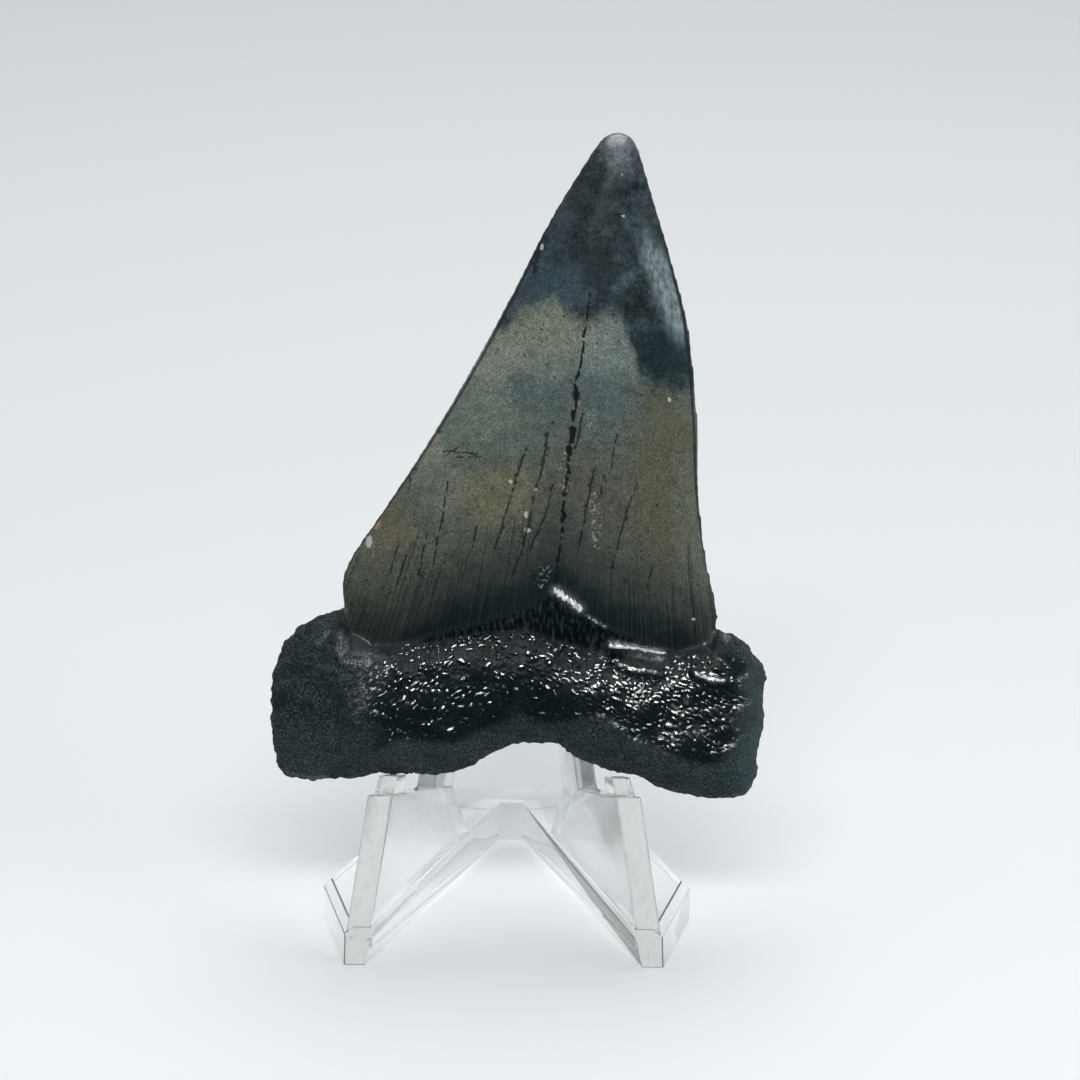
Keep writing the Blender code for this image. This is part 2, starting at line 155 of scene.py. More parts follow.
# Lumps that the wrinkles run over: x, w, reach, height
LUMPS = (
    (-10.1, 10.2, 1.7, 0.35),
    (-7.2, 10.8, 1.6, 0.35),
    (-2.4, 11.2, 2.4, 0.45),
    (-10.2, 6.4, 2.0, 0.40),
    (-6.6, 7.2, 1.6, 0.25),
    (4.1, 11.2, 1.8, 0.30),
    (8.4, 9.0, 2.0, 0.40),
    (13.0, 7.0, 2.4, 0.45),
    (12.6, 3.8, 1.5, 0.30),
    (16.2, 2.8, 2.0, 0.40),
    (20.4, 2.4, 1.6, 0.30),
    (19.6, 6.6, 2.0, 0.30),
)
# Pale band beside the right cutting edge, worn enamel painted lighter also as the sheen of the light at the
# right: x, w
SHEEN_STREAK_LINE = ((12.9, 55.4), (14.0, 51.8), (15.3, 48.7), (16.4, 46.2), (17.2, 43.4), (17.5, 41.0))
# Rows of white crumbs in the enamel: line of (x, w) points
CRUMB_LINES = (
    ((8.0, 35.2), (8.1, 33.8)),
    ((8.6, 27.4), (8.9, 22.8)),
    ((5.6, 31.2), (5.7, 28.4)),
    ((3.4, 19.0), (3.9, 20.4)),
    ((-13.9, 23.4), (-13.6, 21.8)),
)
# Open cracks of the crown: top x, top w, foot x, foot w, half width in millimetres
DEEP_CRACKS = (
    (8.0, 47.4, 7.6, 43.9, 0.10),
    (7.6, 44.0, 7.1, 40.5, 0.14),
    (7.1, 40.6, 6.6, 38.4, 0.20),
    (6.7, 38.6, 6.7, 36.9, 0.30),
    (6.7, 37.0, 6.4, 34.0, 0.20),
    (6.4, 34.1, 6.1, 31.6, 0.42),
    (6.1, 31.8, 5.6, 27.0, 0.22),
    (5.6, 27.2, 5.3, 22.6, 0.18),
    (5.3, 22.8, 4.6, 17.0, 0.16),
)
# Finer cracks, in the same order of numbers
FINE_CRACKS = (
    (7.4, 35.6, 6.7, 32.2, 0.15),
    (4.1, 34.0, 3.6, 30.9, 0.16),
    (3.7, 31.0, 2.7, 27.5, 0.15),
    (2.8, 27.7, 1.6, 22.4, 0.18),
    (1.7, 22.6, 0.6, 19.6, 0.12),
    (1.8, 32.0, 0.7, 28.5, 0.18),
    (0.8, 28.6, -1.1, 22.3, 0.14),
    (4.5, 28.6, 3.6, 25.0, 0.12),
    (3.6, 25.2, 2.3, 22.0, 0.14),
    (8.5, 30.0, 7.1, 22.5, 0.13),
    (9.6, 29.6, 8.9, 26.8, 0.10),
    (10.7, 33.6, 10.2, 30.0, 0.11),
    (13.0, 29.5, 11.9, 26.4, 0.10),
    (11.9, 26.6, 11.0, 23.2, 0.15),
    (11.0, 23.4, 10.4, 20.4, 0.10),
    (-5.9, 28.8, -6.4, 25.4, 0.12),
    (-6.3, 25.6, -6.9, 22.4, 0.20),
    (-6.8, 22.6, -7.3, 20.0, 0.10),
    (-2.9, 24.8, -3.3, 22.4, 0.16),
    (-7.9, 23.8, -8.6, 19.6, 0.13),
    (-9.8, 29.3, -9.7, 28.0, 0.14),
    (-10.8, 22.4, -11.4, 19.8, 0.12),
    (-9.9, 21.6, -10.8, 18.6, 0.12),
    (14.4, 20.8, 13.7, 18.2, 0.10),
)
# Scratches across the crown, in the same order of numbers
SCRATCHES = (
    (-3.0, 31.5, -6.4, 31.9, 0.12),
    (-4.3, 32.6, -6.2, 31.4, 0.10),
    (-2.6, 31.3, -5.0, 31.2, 0.08),
)
# Small spots on the crown: centre x, centre w, half width, half height
PALE_SPOTS = (
    (3.2, 52.2, 0.16, 0.34),
    (0.4, 28.8, 0.15, 0.20),
    (2.8, 28.1, 0.14, 0.18),
    (1.9, 25.6, 0.15, 0.38),
    (2.0, 24.1, 0.24, 0.26),
    (15.9, 37.1, 0.15, 0.15),
    (18.4, 15.5, 0.16, 0.16),
    (11.2, 59.2, 0.15, 0.10),
    (11.3, 55.1, 0.22, 0.10),
    (-13.7, 22.9, 0.30, 0.60),
)
TAN_SPOTS = (
    (-13.0, 24.6, 0.40, 0.50),
    (-7.2, 33.1, 0.34, 0.30),
    (6.8, 36.6, 0.30, 0.26),
)
DARK_SPOTS = (
    (-9.3, 30.2, 0.30, 0.26),
    (6.7, 37.4, 0.42, 0.34),
    (-1.3, 44.5, 0.16, 0.14),
    (-7.0, 31.9, 0.12, 0.10),
    (4.6, 39.2, 0.14, 0.12),
)
# Direction in which the grains of the root lie, left and right of its middle
LEFT_TURN = math.radians(50.0)
RIGHT_TURN = math.radians(-38.0)
# Seed of the noise that bends the wrinkles, without which each run would bend them in another way
BEND_SEED = 1795667274

# Relief of the root and the crown, in millimetres
SWELL_HEIGHT = 1.1
GRAIN_HEIGHT = 0.50
CHIP_HEIGHT = 0.50
CRACK_DEPTH = 0.16
# How far around a crack its bends are worked out, and around a mark the skin is finer, in millimetres
CRACK_MARGIN = 1.2
MARK_MARGIN = 0.8
# Smallest weight that a vertex group stores
LEAST_WEIGHT = 0.004
# Distance above the neck at which the attribute above_neck is 1, in millimetres
ABOVE_NECK_SPAN = 20.0

# Level of the crown's top, and how far its patches stray from their plain places, in millimetres
CROWN_TOP = 64.0
PATCH_WANDER = 7.0
# Point from which the crown's striations fan out: x, w
FAN_X = 10.8
FAN_W = 88.0
# Striations, two dark kinds and a pale one: lines in the fan, half width, lowest and highest top, seed
STRIATIONS = (
    (150.0, 0.18, 17.5, 25.0, 0.0),
    (80.0, 0.10, 18.0, 28.0, 40.0),
    (170.0, 0.16, 16.5, 22.5, 80.0),
)
# Pepper of the crown: cells in a millimetre, radius of a speck in its cell, share of cells with one
PEPPER_SIZES = ((0.55, 0.12, 0.45), (1.3, 0.16, 0.34), (2.6, 0.24, 0.28))
# Border between the slate tip and the rest of the crown: x, w
TIP_BORDER = (
    (-0.8, 43.7), (1.7, 45.2), (4.3, 46.4), (6.1, 45.1), (7.6, 44.6), (8.6, 44.8),
    (10.6, 45.3), (11.4, 43.4), (12.4, 41.0), (13.8, 38.6), (17.4, 38.0),
)
# Worn end of the tip, painted paler also as the tip's highlight: centre x, centre w, half width, half
# height
TIP_WEAR_AND_HIGHLIGHT_AREA = (10.8, 62.4, 1.6, 2.2)
# Mottling that the enamel's colour is multiplied by: noise, colour
COARSE_MOTTLE = ((0.28, (0.52, 0.53, 0.56)), (0.5, (0.91, 0.92, 0.93)), (0.72, (1.34, 1.32, 1.28)))
FINE_MOTTLE = ((0.25, (0.36, 0.38, 0.42)), (0.5, (1.0, 1.0, 1.0)), (0.75, (1.85, 1.80, 1.70)))
# Darkness of the crown's foot: millimetres above the neck, share
FOOT_DARKNESS = (
    (-1.0, 1.0), (0.5, 0.93), (2.0, 0.77), (3.3, 0.67), (5.0, 0.50), (6.6, 0.28), (9.0, 0.10), (12.0, 0.0),
)
# Marks of the enamel: attribute, values at which they begin and are full, strength, colour
MARKS = (
    ("tan_spot", 0.2, 0.8, 0.75, (0.34, 0.23, 0.16)),
    ("dark_spot", 0.3, 0.7, 0.85, (0.020, 0.018, 0.017)),
    ("pale_spot", 0.3, 0.7, 0.90, (0.52, 0.53, 0.50)),
    ("fine_crack", 0.10, 0.50, 0.80, (0.010, 0.014, 0.014)),
    ("deep_crack", 0.12, 0.50, 0.95, (0.006, 0.009, 0.009)),
)
# Soft patches of the crown: centre x, centre w, half width, half height, colour, strength
CROWN_PATCHES = (
    (-1.2, 41.4, 2.6, 3.2, (0.245, 0.265, 0.220), 0.9),
    (3.9, 43.2, 4.2, 3.2, (0.215, 0.243, 0.185), 0.85),
    (10.2, 42.0, 2.8, 4.2, (0.190, 0.232, 0.218), 0.8),
    (8.6, 36.2, 5.4, 3.0, (0.095, 0.127, 0.124), 0.75),
    (-3.0, 36.0, 4.0, 2.8, (0.175, 0.208, 0.175), 0.75),
    (-8.3, 31.8, 2.6, 2.4, (0.240, 0.252, 0.208), 0.75),
    (-5.6, 28.4, 2.4, 2.6, (0.185, 0.205, 0.190), 0.6),
    (-0.6, 27.4, 4.6, 2.8, (0.172, 0.168, 0.108), 0.85),
    (-12.4, 24.4, 2.6, 3.2, (0.138, 0.130, 0.090), 0.9),
    (8.0, 27.0, 5.0, 6.5, (0.094, 0.096, 0.082), 0.75),
    (15.4, 30.0, 3.4, 10.0, (0.108, 0.108, 0.070), 0.85),
    (17.8, 24.0, 1.6, 9.0, (0.135, 0.146, 0.122), 0.6),
)
# Patches of the slate tip: centre x, centre w, half width, half height, softness, colour, strength
TIP_PATCHES = (
    (4.6, 48.4, 4.4, 2.6, 0.6, (0.060, 0.092, 0.116), 0.85),
    (1.6, 45.6, 2.0, 1.6, 0.6, (0.085, 0.115, 0.128), 0.7),
    (5.0, 56.5, 1.8, 3.2, 0.7, (0.072, 0.096, 0.108), 0.6),
    (8.6, 50.2, 2.6, 2.0, 0.6, (0.020, 0.030, 0.032), 0.7),
    (8.6, 57.0, 2.2, 2.4, 0.7, (0.022, 0.032, 0.033), 0.6),
    (15.0, 40.6, 2.8, 3.0, 0.35, (0.016, 0.031, 0.034), 0.95),
    (2.6, 50.4, 0.7, 1.2, 0.4, (0.014, 0.020, 0.022), 0.85),
)
# Further colours of the enamel
# Pale of the worn tip, also a painted highlight
WORN_TIP_AND_HIGHLIGHT = (0.42, 0.48, 0.51)
PEPPER = (0.018, 0.020, 0.018)
RUST = (0.080, 0.060, 0.034)
FOOT_SHADE = (0.014, 0.0255, 0.028)
FOOT_BLACK = (0.0080, 0.0150, 0.0170)
PALE_GROOVE = (0.13, 0.16, 0.155)
DARK_GROOVE = (0.007, 0.011, 0.012)
# Worn enamel beside the right edge, and its painted sheen
WORN_SHEEN = (0.290, 0.365, 0.385)
CRUMB = (0.40, 0.41, 0.38)
CUTTING_EDGE = (0.012, 0.017, 0.019)
# Further colours of the root: its matt parts, the band along its base, lighter also as a painted reflection
# of the table, its polish, its neck, and its crusts and broken edges, pale also as painted glints
ROOT_MATT = (0.009, 0.0180, 0.0210)
ROOT_DUST = (0.100, 0.138, 0.146)
# Band along the base: its own matt stone, painted lighter also as a reflection of the table below it
LOW_MATT_AND_TABLE_REFLECTION = (0.022, 0.037, 0.041)
LOW_DUST_AND_TABLE_REFLECTION = (0.075, 0.104, 0.112)
POLISHED_DUST = (0.018, 0.034, 0.039)
NECK_BLACK = (0.0030, 0.0068, 0.0082)
NECK_STREAK = (0.030, 0.045, 0.049)
# Pale grey and near-white of crusts and broken edges, also used as painted glints
CRUST_AND_GLINT_GREY = (0.13, 0.145, 0.145)
BROKEN_EDGE_AND_GLINT_WHITE = (0.80, 0.83, 0.84)

# Width of the stand's rounded edges, and the least angle that counts as an edge
EDGE_WIDTH = 0.00010
SHARP = math.radians(30.0)
# Materials of the stand, in their order on the piece
CLEAR, MATT, SHADED_EDGE = 0, 1, 2
# Edges painted dark as shade: those below a level, where the stand's contact shadow lies, and those outside
# a reach from the middle and below a higher level, for the dark lines along the feet
TABLE_EDGES = 0.0004
FOOT_REACH = 0.0152
FOOT_TOP = 0.011
# Matt front faces: how deep they reach behind the front feet, and how far they face forward
FRONT_DEPTH = 0.0075
FRONT_FACING = -0.7
# Bubbles and scuffs on the front of the stand: centre x, centre z, half width, half height
STAND_MARKS = (
    (-13.1, 2.8, 0.30, 0.22),
    (-14.8, 3.0, 0.22, 0.16),
    (-7.4, 11.0, 0.60, 0.10),
    (-6.6, 11.3, 0.50, 0.08),
    (8.2, 17.6, 0.50, 0.30),
)
# Optics and colours of the stand's plastic
PLASTIC_IOR = 1.49
PLASTIC_DENSITY = 60.0
SHADOW_TINT = (0.985, 0.988, 0.986)
PLASTIC_TINT = (0.975, 0.985, 0.985)
PLASTIC_SCUFF = (0.88, 0.90, 0.90)
# Dark tint of some edges: painted shade for the contact shadow and the dark edge lines
EDGE_SHADE_TINT = (0.20, 0.235, 0.25)
MATT_SCUFF = (0.78, 0.82, 0.81)
STAND_MARK = (0.42, 0.46, 0.45)
MATT_COLOURS = ((0.32, (0.86, 0.89, 0.885)), (0.52, (0.975, 0.985, 0.975)), (0.70, (0.985, 0.975, 0.93)))
MATT_STREAKS_PER_METRE = (1600.0, 1600.0, 350.0)

# Table: its size, and its level a hair above the stand's soles, so that the two never coincide
TABLE_SIZE = 4.0
TABLE_LEVEL = 0.00003
# Powers of the two weak lights, in watts
SIDE_POWER = 0.45
TABLE_POWER = 0.075
# Light from all round: its colour, and the height, rim and core of its dark part towards the camera
WORLD_COLOUR = (0.93, 0.97, 1.0)
DARK_HEIGHT = math.radians(28.0)
DARK_RIM = math.radians(78.0)
DARK_CORE = math.radians(42.0)

# Kinds of sockets of the node groups
NUMBER = "NodeSocketFloat"
VECTOR = "NodeSocketVector"


class ToothSettings(bpy.types.PropertyGroup):
    """Sizes and colours of the fossil tooth."""

    grain: bpy.props.FloatProperty(
        name="Skin Grain", description="Size of the faces that the tooth's skin is rebuilt with",
        default=0.00043, min=0.0002, max=0.001, unit="LENGTH", precision=5)
    wrinkle_height: bpy.props.FloatProperty(
        name="Wrinkle Height", description="How far the wrinkles of the root stand out",
        default=0.00034, min=0.0, max=0.001, unit="LENGTH", precision=5)
    root_colour: bpy.props.FloatVectorProperty(
        name="Root Colour", description="Black of the mineral that fills the root",
        default=(0.0045, 0.0095, 0.0110), min=0.0, max=1.0, size=3, subtype="COLOR")
    slate_colour: bpy.props.FloatVectorProperty(
        name="Slate Colour", description="Blue-black of the crown's tip",
        default=(0.031, 0.046, 0.051), min=0.0, max=1.0, size=3, subtype="COLOR")
    khaki_colour: bpy.props.FloatVectorProperty(
        name="Khaki Colour", description="Palest grey-green of the crown",
        default=(0.185, 0.225, 0.195), min=0.0, max=1.0, size=3, subtype="COLOR")
    olive_colour: bpy.props.FloatVectorProperty(
        name="Olive Colour", description="Brown-green of the crown's lower half",
        default=(0.118, 0.126, 0.100), min=0.0, max=1.0, size=3, subtype="COLOR")


class StandSettings(bpy.types.PropertyGroup):
    """Finish of the clear stand."""

    roughness: bpy.props.FloatProperty(
        name="Roughness", description="How matt the moulded plastic is",
        default=0.10, min=0.0, max=1.0, subtype="FACTOR")
    clearness: bpy.props.FloatProperty(
        name="Clearness", description="How far the moulded plastic lets light through",
        default=0.74, min=0.0, max=1.0, subtype="FACTOR")
    matt_clearness: bpy.props.FloatProperty(
        name="Matt Clearness", description="How far the matt front faces let light through",
        default=0.12, min=0.0, max=1.0, subtype="FACTOR")
    depth_colour: bpy.props.FloatVectorProperty(
        name="Depth Colour", description="Colour that thick plastic turns",
        default=(0.94, 0.95, 0.945), min=0.0, max=1.0, size=3, subtype="COLOR")


class StudioSettings(bpy.types.PropertyGroup):
    """Light, table and camera."""

    table_colour: bpy.props.FloatVectorProperty(
        name="Table Colour", description="Pale colour of the table",
        default=(0.89, 0.91, 0.92), min=0.0, max=1.0, size=3, subtype="COLOR")
    panel_power: bpy.props.FloatProperty(
        name="Panel Power", description="Power by which the front and back light panels are set",
        default=1.1, min=0.0, soft_max=50.0, unit="POWER")
    sheen_power: bpy.props.FloatProperty(
        name="Sheen Power", description="Power of the panel that is seen only in reflections",
        default=24.0, min=0.0, soft_max=50.0, unit="POWER")
    lens: bpy.props.FloatProperty(
        name="Lens", description="Focal length of the camera, in millimetres",
        default=109.0, min=10.0, max=500.0)


def select_only(piece):
    """Select one object and make it the active one."""
    bpy.ops.object.select_all(action="DESELECT")
    piece.select_set(True)
    bpy.context.view_layer.objects.active = piece


def copy_of_node(node, name):
    """Return a new object with a merged copy of a CAD node's mesh."""
    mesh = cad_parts[node].data.copy()
    mesh.name = name
    mesh.materials.clear()
    piece = bpy.data.objects.new(name, mesh)
    bpy.context.collection.objects.link(piece)
    select_only(piece)
    bpy.ops.object.mode_set(mode="EDIT")
    bpy.ops.mesh.select_all(action="SELECT")
    bpy.ops.mesh.remove_doubles(threshold=1e-6)
    bpy.ops.object.mode_set(mode="OBJECT")
    return piece


def apply_modifier(piece, kind, **settings):
    """Add a modifier with its settings to the active piece and apply it."""
    modifier = piece.modifiers.new(kind.lower(), kind)
    for name, value in settings.items():
        setattr(modifier, name, value)
    bpy.ops.object.modifier_apply(modifier=modifier.name)


def tooth_coordinates(piece):
    """Return x, n and w in millimetres of every vertex of a piece, as three arrays."""
    places = np.empty(len(piece.data.vertices) * 3)
    piece.data.vertices.foreach_get("co", places)
    x, y, z = ((places.reshape(-1, 3) - np.array(TOOTH_ORIGIN)) / MM).T
    depth = y * math.cos(LEAN) - z * math.sin(LEAN)
    height = y * math.sin(LEAN) + z * math.cos(LEAN)
    return x, -depth, height


def line_level(line, along):
    """Level of a line of points at each place along it."""
    places, levels = np.array(line).T
    return np.interp(along, places, levels)


def rising(value, start, end):
    """Share from 0 at start to 1 at end, eased at both."""
    share = np.clip((value - start) / (end - start), 0.0, 1.0)
    return share * share * (3 - 2 * share)


def clamped(value, highest=1.0):
    """Number kept between 0 and the highest allowed."""
    return min(max(value, 0.0), highest)


def near_line(line, x, w, reach):
    """Share from 1 on a line of (x, w) points to 0 at a distance of reach."""
    nearest = np.full(len(x), np.inf)
    for (start_x, start_w), (end_x, end_w) in zip(line, line[1:]):
        run_x, run_w = end_x - start_x, end_w - start_w
        along = np.clip(((x - start_x) * run_x + (w - start_w) * run_w) / (run_x ** 2 + run_w ** 2), 0, 1)
        nearest = np.minimum(nearest, np.hypot(x - start_x - along * run_x, w - start_w - along * run_w))
    return 1 - rising(nearest, 0.0, reach)


def near_crack(crack, x, w, reach):
    """Share from 1 on a crack, between its top and its foot, to 0 at a distance of reach."""
    top_x, top_w, foot_x, foot_w = crack[:4]
    return near_line(((top_x, top_w), (foot_x, foot_w)), x, w, reach)


def lump_share(x, w, centre_x, centre_w, reach):
    """Share from 1 in the middle of a round lump to 0 at its edge."""
    return 1 - rising(np.hypot(x - centre_x, w - centre_w), 0.0, reach)


def give_group(piece, name, weights):
    """Store a weight for every vertex as a vertex group."""
    group = piece.vertex_groups.new(name=name)
    for index in np.nonzero(weights > LEAST_WEIGHT)[0].tolist():
        group.add([index], float(weights[index]), "REPLACE")
    return name


def give_attribute(piece, name, values):
    """Store a number for every vertex, which the material reads by name."""
    attribute = piece.data.attributes.new(name, "FLOAT", "POINT")
    attribute.data.foreach_set("value", values.astype(np.float32))


def wrinkle_share(x, n, w):
    """Where the root is wrinkled: on its front, between the neck and the band along the base."""
    top = line_level(WRINKLE_TOP, x)
    bottom = line_level(WRINKLE_BOTTOM, x)
    share = rising(w, bottom - 0.5, bottom + 0.6) * (1 - rising(w, top - 0.5, top + 0.3))
    beyond = x - END_SLANT * (w - END_MIDDLE) - END_WAVE * np.sin(END_PACE * w)
    share *= rising(x, -15.8, -10.5) * (1 - rising(beyond, 21.6, 23.4))
    return share * rising(n, 0.5, 2.0)


def enamel_share(x, w):
    """Where the tooth is covered with enamel: on the crown, above the neck."""
    beside_left = x - line_level(CROWN_LEFT, w)
    beside_right = line_level(CROWN_RIGHT, w) - x
    above = w - line_level(ENAMEL_EDGE, x)
    return rising(above, -0.5, 0.5) * rising(np.minimum(beside_left, beside_right), -0.35, 0.05)


def neck_share(x, w):
    """Where the smooth neck lies, between the wrinkled root and the enamel."""
    above_root = rising(w, line_level(WRINKLE_TOP, x) - 0.5, line_level(WRINKLE_TOP, x) + 0.2)
    return above_root * (1 - enamel_share(x, w)) * rising(x, -12.5, -8.5) * (1 - rising(x, 14.5, 17.0))


def swell_share(x, n, w):
    """How far the lower half of the root's front stands out, from 0 to 1."""
    base = line_level(BASE_LINE, x)
    level = (w - base) / (line_level(WRINKLE_TOP, x) - base)
    share = rising(level, 0.08, 0.32) * (1 - rising(level, 0.34, 0.72))
    return share * rising(n, 0.5, 2.0) * rising(x, -19.0, -13.0) * (1 - rising(x, 19.0, 24.0))


def ledge_share(x, n, w):
    """How far the ledge beside the crown's base goes down, in millimetres."""
    drop = line_level(LEDGE_DROP, x)
    top = line_level(LEDGE_TOP, x)
    return drop * rising(w, 8.0, top) * (1 - rising(w, top + 0.2, top + 3.5)) * rising(n, 0.8, 1.6)


def spot_share(spots, x, n, w):
    """Where small spots lie on the front of the crown."""
    share = np.zeros(len(x))
    for centre_x, centre_w, half_width, half_height in spots:
        distance = np.hypot((x - centre_x) / half_width, (w - centre_w) / half_height)
        share = np.maximum(share, 1 - rising(distance, 0.5, 1.6))
    return share * rising(n, 0.0, 0.3)


def pale_share(x, n, w):
    """Where pale crust and broken edges show, and where highlights of ridges and chips are painted pale."""
    share = np.zeros(len(x))
    for line, reach, strength in PALE_AND_GLINT_LINES:
        share = np.maximum(share, near_line(line, x, w, reach) * strength)
    return share * rising(n, 0.3, 0.9)


def near_marks(x, n, w):
    """Share from 1 on a crack or a spot of the crown's front to 0 beside it."""
    share = np.zeros(len(x))
    for crack in DEEP_CRACKS + FINE_CRACKS + SCRATCHES:
        share = np.maximum(share, near_crack(crack, x, w, MARK_MARGIN))
    for centre_x, centre_w, half_width, half_height in PALE_SPOTS + TAN_SPOTS + DARK_SPOTS:
        share = np.maximum(share, lump_share(x, w, centre_x, centre_w, half_width + half_height + 0.3))
    return np.where(n > 0.0, share, 0.0)


def places_of(chosen, x, n, w):
    """Number and place of each chosen vertex in turn."""
    for index in np.nonzero(chosen)[0].tolist():
        yield index, Vector((x[index], n[index], w[index]))


def crack_share(cracks, x, n, w):
    """Depth from 0 to 1 of thin, broken cracks."""
    near = np.zeros(len(x), dtype=bool)
    for crack in cracks:
        near |= near_crack(crack, x, w, CRACK_MARGIN) > 0
    bend = np.zeros(len(x))
    whole = np.zeros(len(x))
    for index, place in places_of(near & (n > 0.2), x, n, w):
        bend[index] = 0.16 * noise.noise(place * 0.9) + 0.09 * noise.noise(place * 2.6)
        whole[index] = clamped(0.72 + 1.2 * noise.noise(place * 1.9), 1.3)
    share = np.zeros(len(x))
    for crack in cracks:
        reach = crack[4] * (0.50 + 0.65 * whole)
        share = np.maximum(share, near_crack(crack, x + bend, w + bend, reach))
    return share * np.minimum(whole * 1.6, 1.0)


def chip_height(x, n, w, pale):
    """Height from 0 to 1 of the rough broken chips along the neck."""
    heights = np.zeros(len(x))
    broken = (pale > 0.05) & (w > 14.3) & (x > 3.0) & (x < 10.5)
    for index, place in places_of(broken, x, n, w):
        heights[index] = pale[index] * clamped(0.5 + 0.9 * noise.noise(place * 2.1))
    return heights


def long_grains(place, turn, length, width):
    """Height from 0 to 1 of rounded grains that lie side by side along one direction."""
    along = place.x * math.cos(turn) + place.z * math.sin(turn)
    aside = place.z * math.cos(turn) - place.x * math.sin(turn)
    distances, centres = noise.voronoi(Vector((along / length, place.y / width, aside / width)))
    dome = min((distances[1] - distances[0]) / 0.5, 1.0)
    return dome * dome * (3 - 2 * dome) * (0.6 + 0.4 * noise.cell(centres[0] * 7.3))


def wrinkle_height(x, n, w, chosen):
    """Height from 0 to 1 of the worm-like wrinkles at the chosen vertices."""
    noise.seed_set(BEND_SEED)
    heights = np.zeros(len(x))
    for index, place in places_of(chosen, x, n, w):
        side = clamped((place.x + 3.0 * noise.noise(place * 0.35)) / 3.0 + 0.5)
        place += 0.48 * noise.noise_vector(place * 0.85)
        left = long_grains(place, LEFT_TURN, 0.95, 0.46) if side < 1 else 0.0
        right = long_grains(place, RIGHT_TURN, 0.95, 0.48) if side > 0 else 0.0
        heights[index] = left * (1 - side) + right * side
    return heights


def grain_height(x, n, w, chosen):
    """Height from 0 to 1 of the lumpy grain of the root at the chosen vertices."""
    heights = np.zeros(len(x))
    for index, place in places_of(chosen, x, n, w):
        lumps = noise.noise(place * 0.45) * 0.6 + noise.noise(place * 1.3) * 0.35
        lumps += 0.35 * (long_grains(place, LEFT_TURN, 0.9, 0.7) - 0.5)
        heights[index] = clamped(0.5 + lumps)
    return heights


def refine(piece, chosen):
    """Split the faces between the chosen vertices in four."""
    bpy.ops.object.mode_set(mode="EDIT")
    bpy.ops.mesh.select_mode(type="VERT")
    bpy.ops.mesh.select_all(action="DESELECT")
    bpy.ops.object.mode_set(mode="OBJECT")
    piece.data.vertices.foreach_set("select", chosen)
    bpy.ops.object.mode_set(mode="EDIT")
    bpy.ops.mesh.subdivide(number_cuts=1, smoothness=0.5)
    bpy.ops.mesh.select_all(action="DESELECT")
    bpy.ops.object.mode_set(mode="OBJECT")


def smooth(piece, iterations, group=""):
    """Smooth the skin, all over or as far as a vertex group says."""
    apply_modifier(piece, "SMOOTH", factor=0.5, iterations=iterations, vertex_group=group)


def tooth_skin():
    """Rebuild the tooth's skin with small even faces, finer on the front of the root and at marks."""
    settings = bpy.context.scene.fossil_tooth
    piece = copy_of_node("tooth", "fossil_tooth")
    apply_modifier(piece, "SUBSURF", levels=1, render_levels=1)
    apply_modifier(piece, "REMESH", mode="VOXEL", voxel_size=settings.grain)
    smooth(piece, 5)
    x, n, w = tooth_coordinates(piece)
    smooth(piece, 60, give_group(piece, "crown_front", rising(w, 16.0, 19.0) * rising(n, 0.35, 1.1)))
    x, n, w = tooth_coordinates(piece)
    root_front = (w < 16.5) & (n > 1.0)
    refine(piece, root_front | (pale_share(x, n, w) > 0.02) | (near_marks(x, n, w) > 0.35))
    x, n, w = tooth_coordinates(piece)
    wrinkled = wrinkle_share(x, n, w) > 0.40
    refine(piece, wrinkled | (pale_share(x, n, w) > 0.5) | (near_marks(x, n, w) > 0.65))
    return piece


def raise_skin(piece, name, weights, height, direction="NORMAL"):
    """Move the skin by a height in millimetres, as far as the weights say."""
    group = give_group(piece, name, weights)
    apply_modifier(piece, "DISPLACE", vertex_group=group, mid_level=0.0, strength=height * MM,
                   direction=direction)


def shape_root(piece):
    """Lower the root's ledge, raise its swell, lumps and ridges, and return the places under the ridges."""
    x, n, w = tooth_coordinates(piece)
    raise_skin(piece, "ledge", ledge_share(x, n, w) / 2, -2.0, "Z")
    x, n, w = tooth_coordinates(piece)
    beside = rising(np.abs(x - 2.5), 8.0, 11.0) * rising(w, 9.5, 11.0) * (1 - rising(w, 14.5, 16.5))
    smooth(piece, 45, give_group(piece, "lip", beside * rising(n, 0.8, 1.6)))
    x, n, w = tooth_coordinates(piece)
    raise_skin(piece, "swell", swell_share(x, n, w), SWELL_HEIGHT)
    x, n, w = tooth_coordinates(piece)
    lumps = np.zeros(len(x))
    for centre_x, centre_w, reach, height in LUMPS:
        lumps += lump_share(x, w, centre_x, centre_w, reach) * height
    raise_skin(piece, "lumps", np.minimum(lumps, 1.0) * rising(n, 0.5, 1.5), 1.0)
    x, n, w = tooth_coordinates(piece)
    for name, line, reach, height in RIDGES:
        raise_skin(piece, name, near_line(line, x, w, reach) * rising(n, 0.0, 1.0), height)
    return x, n, w


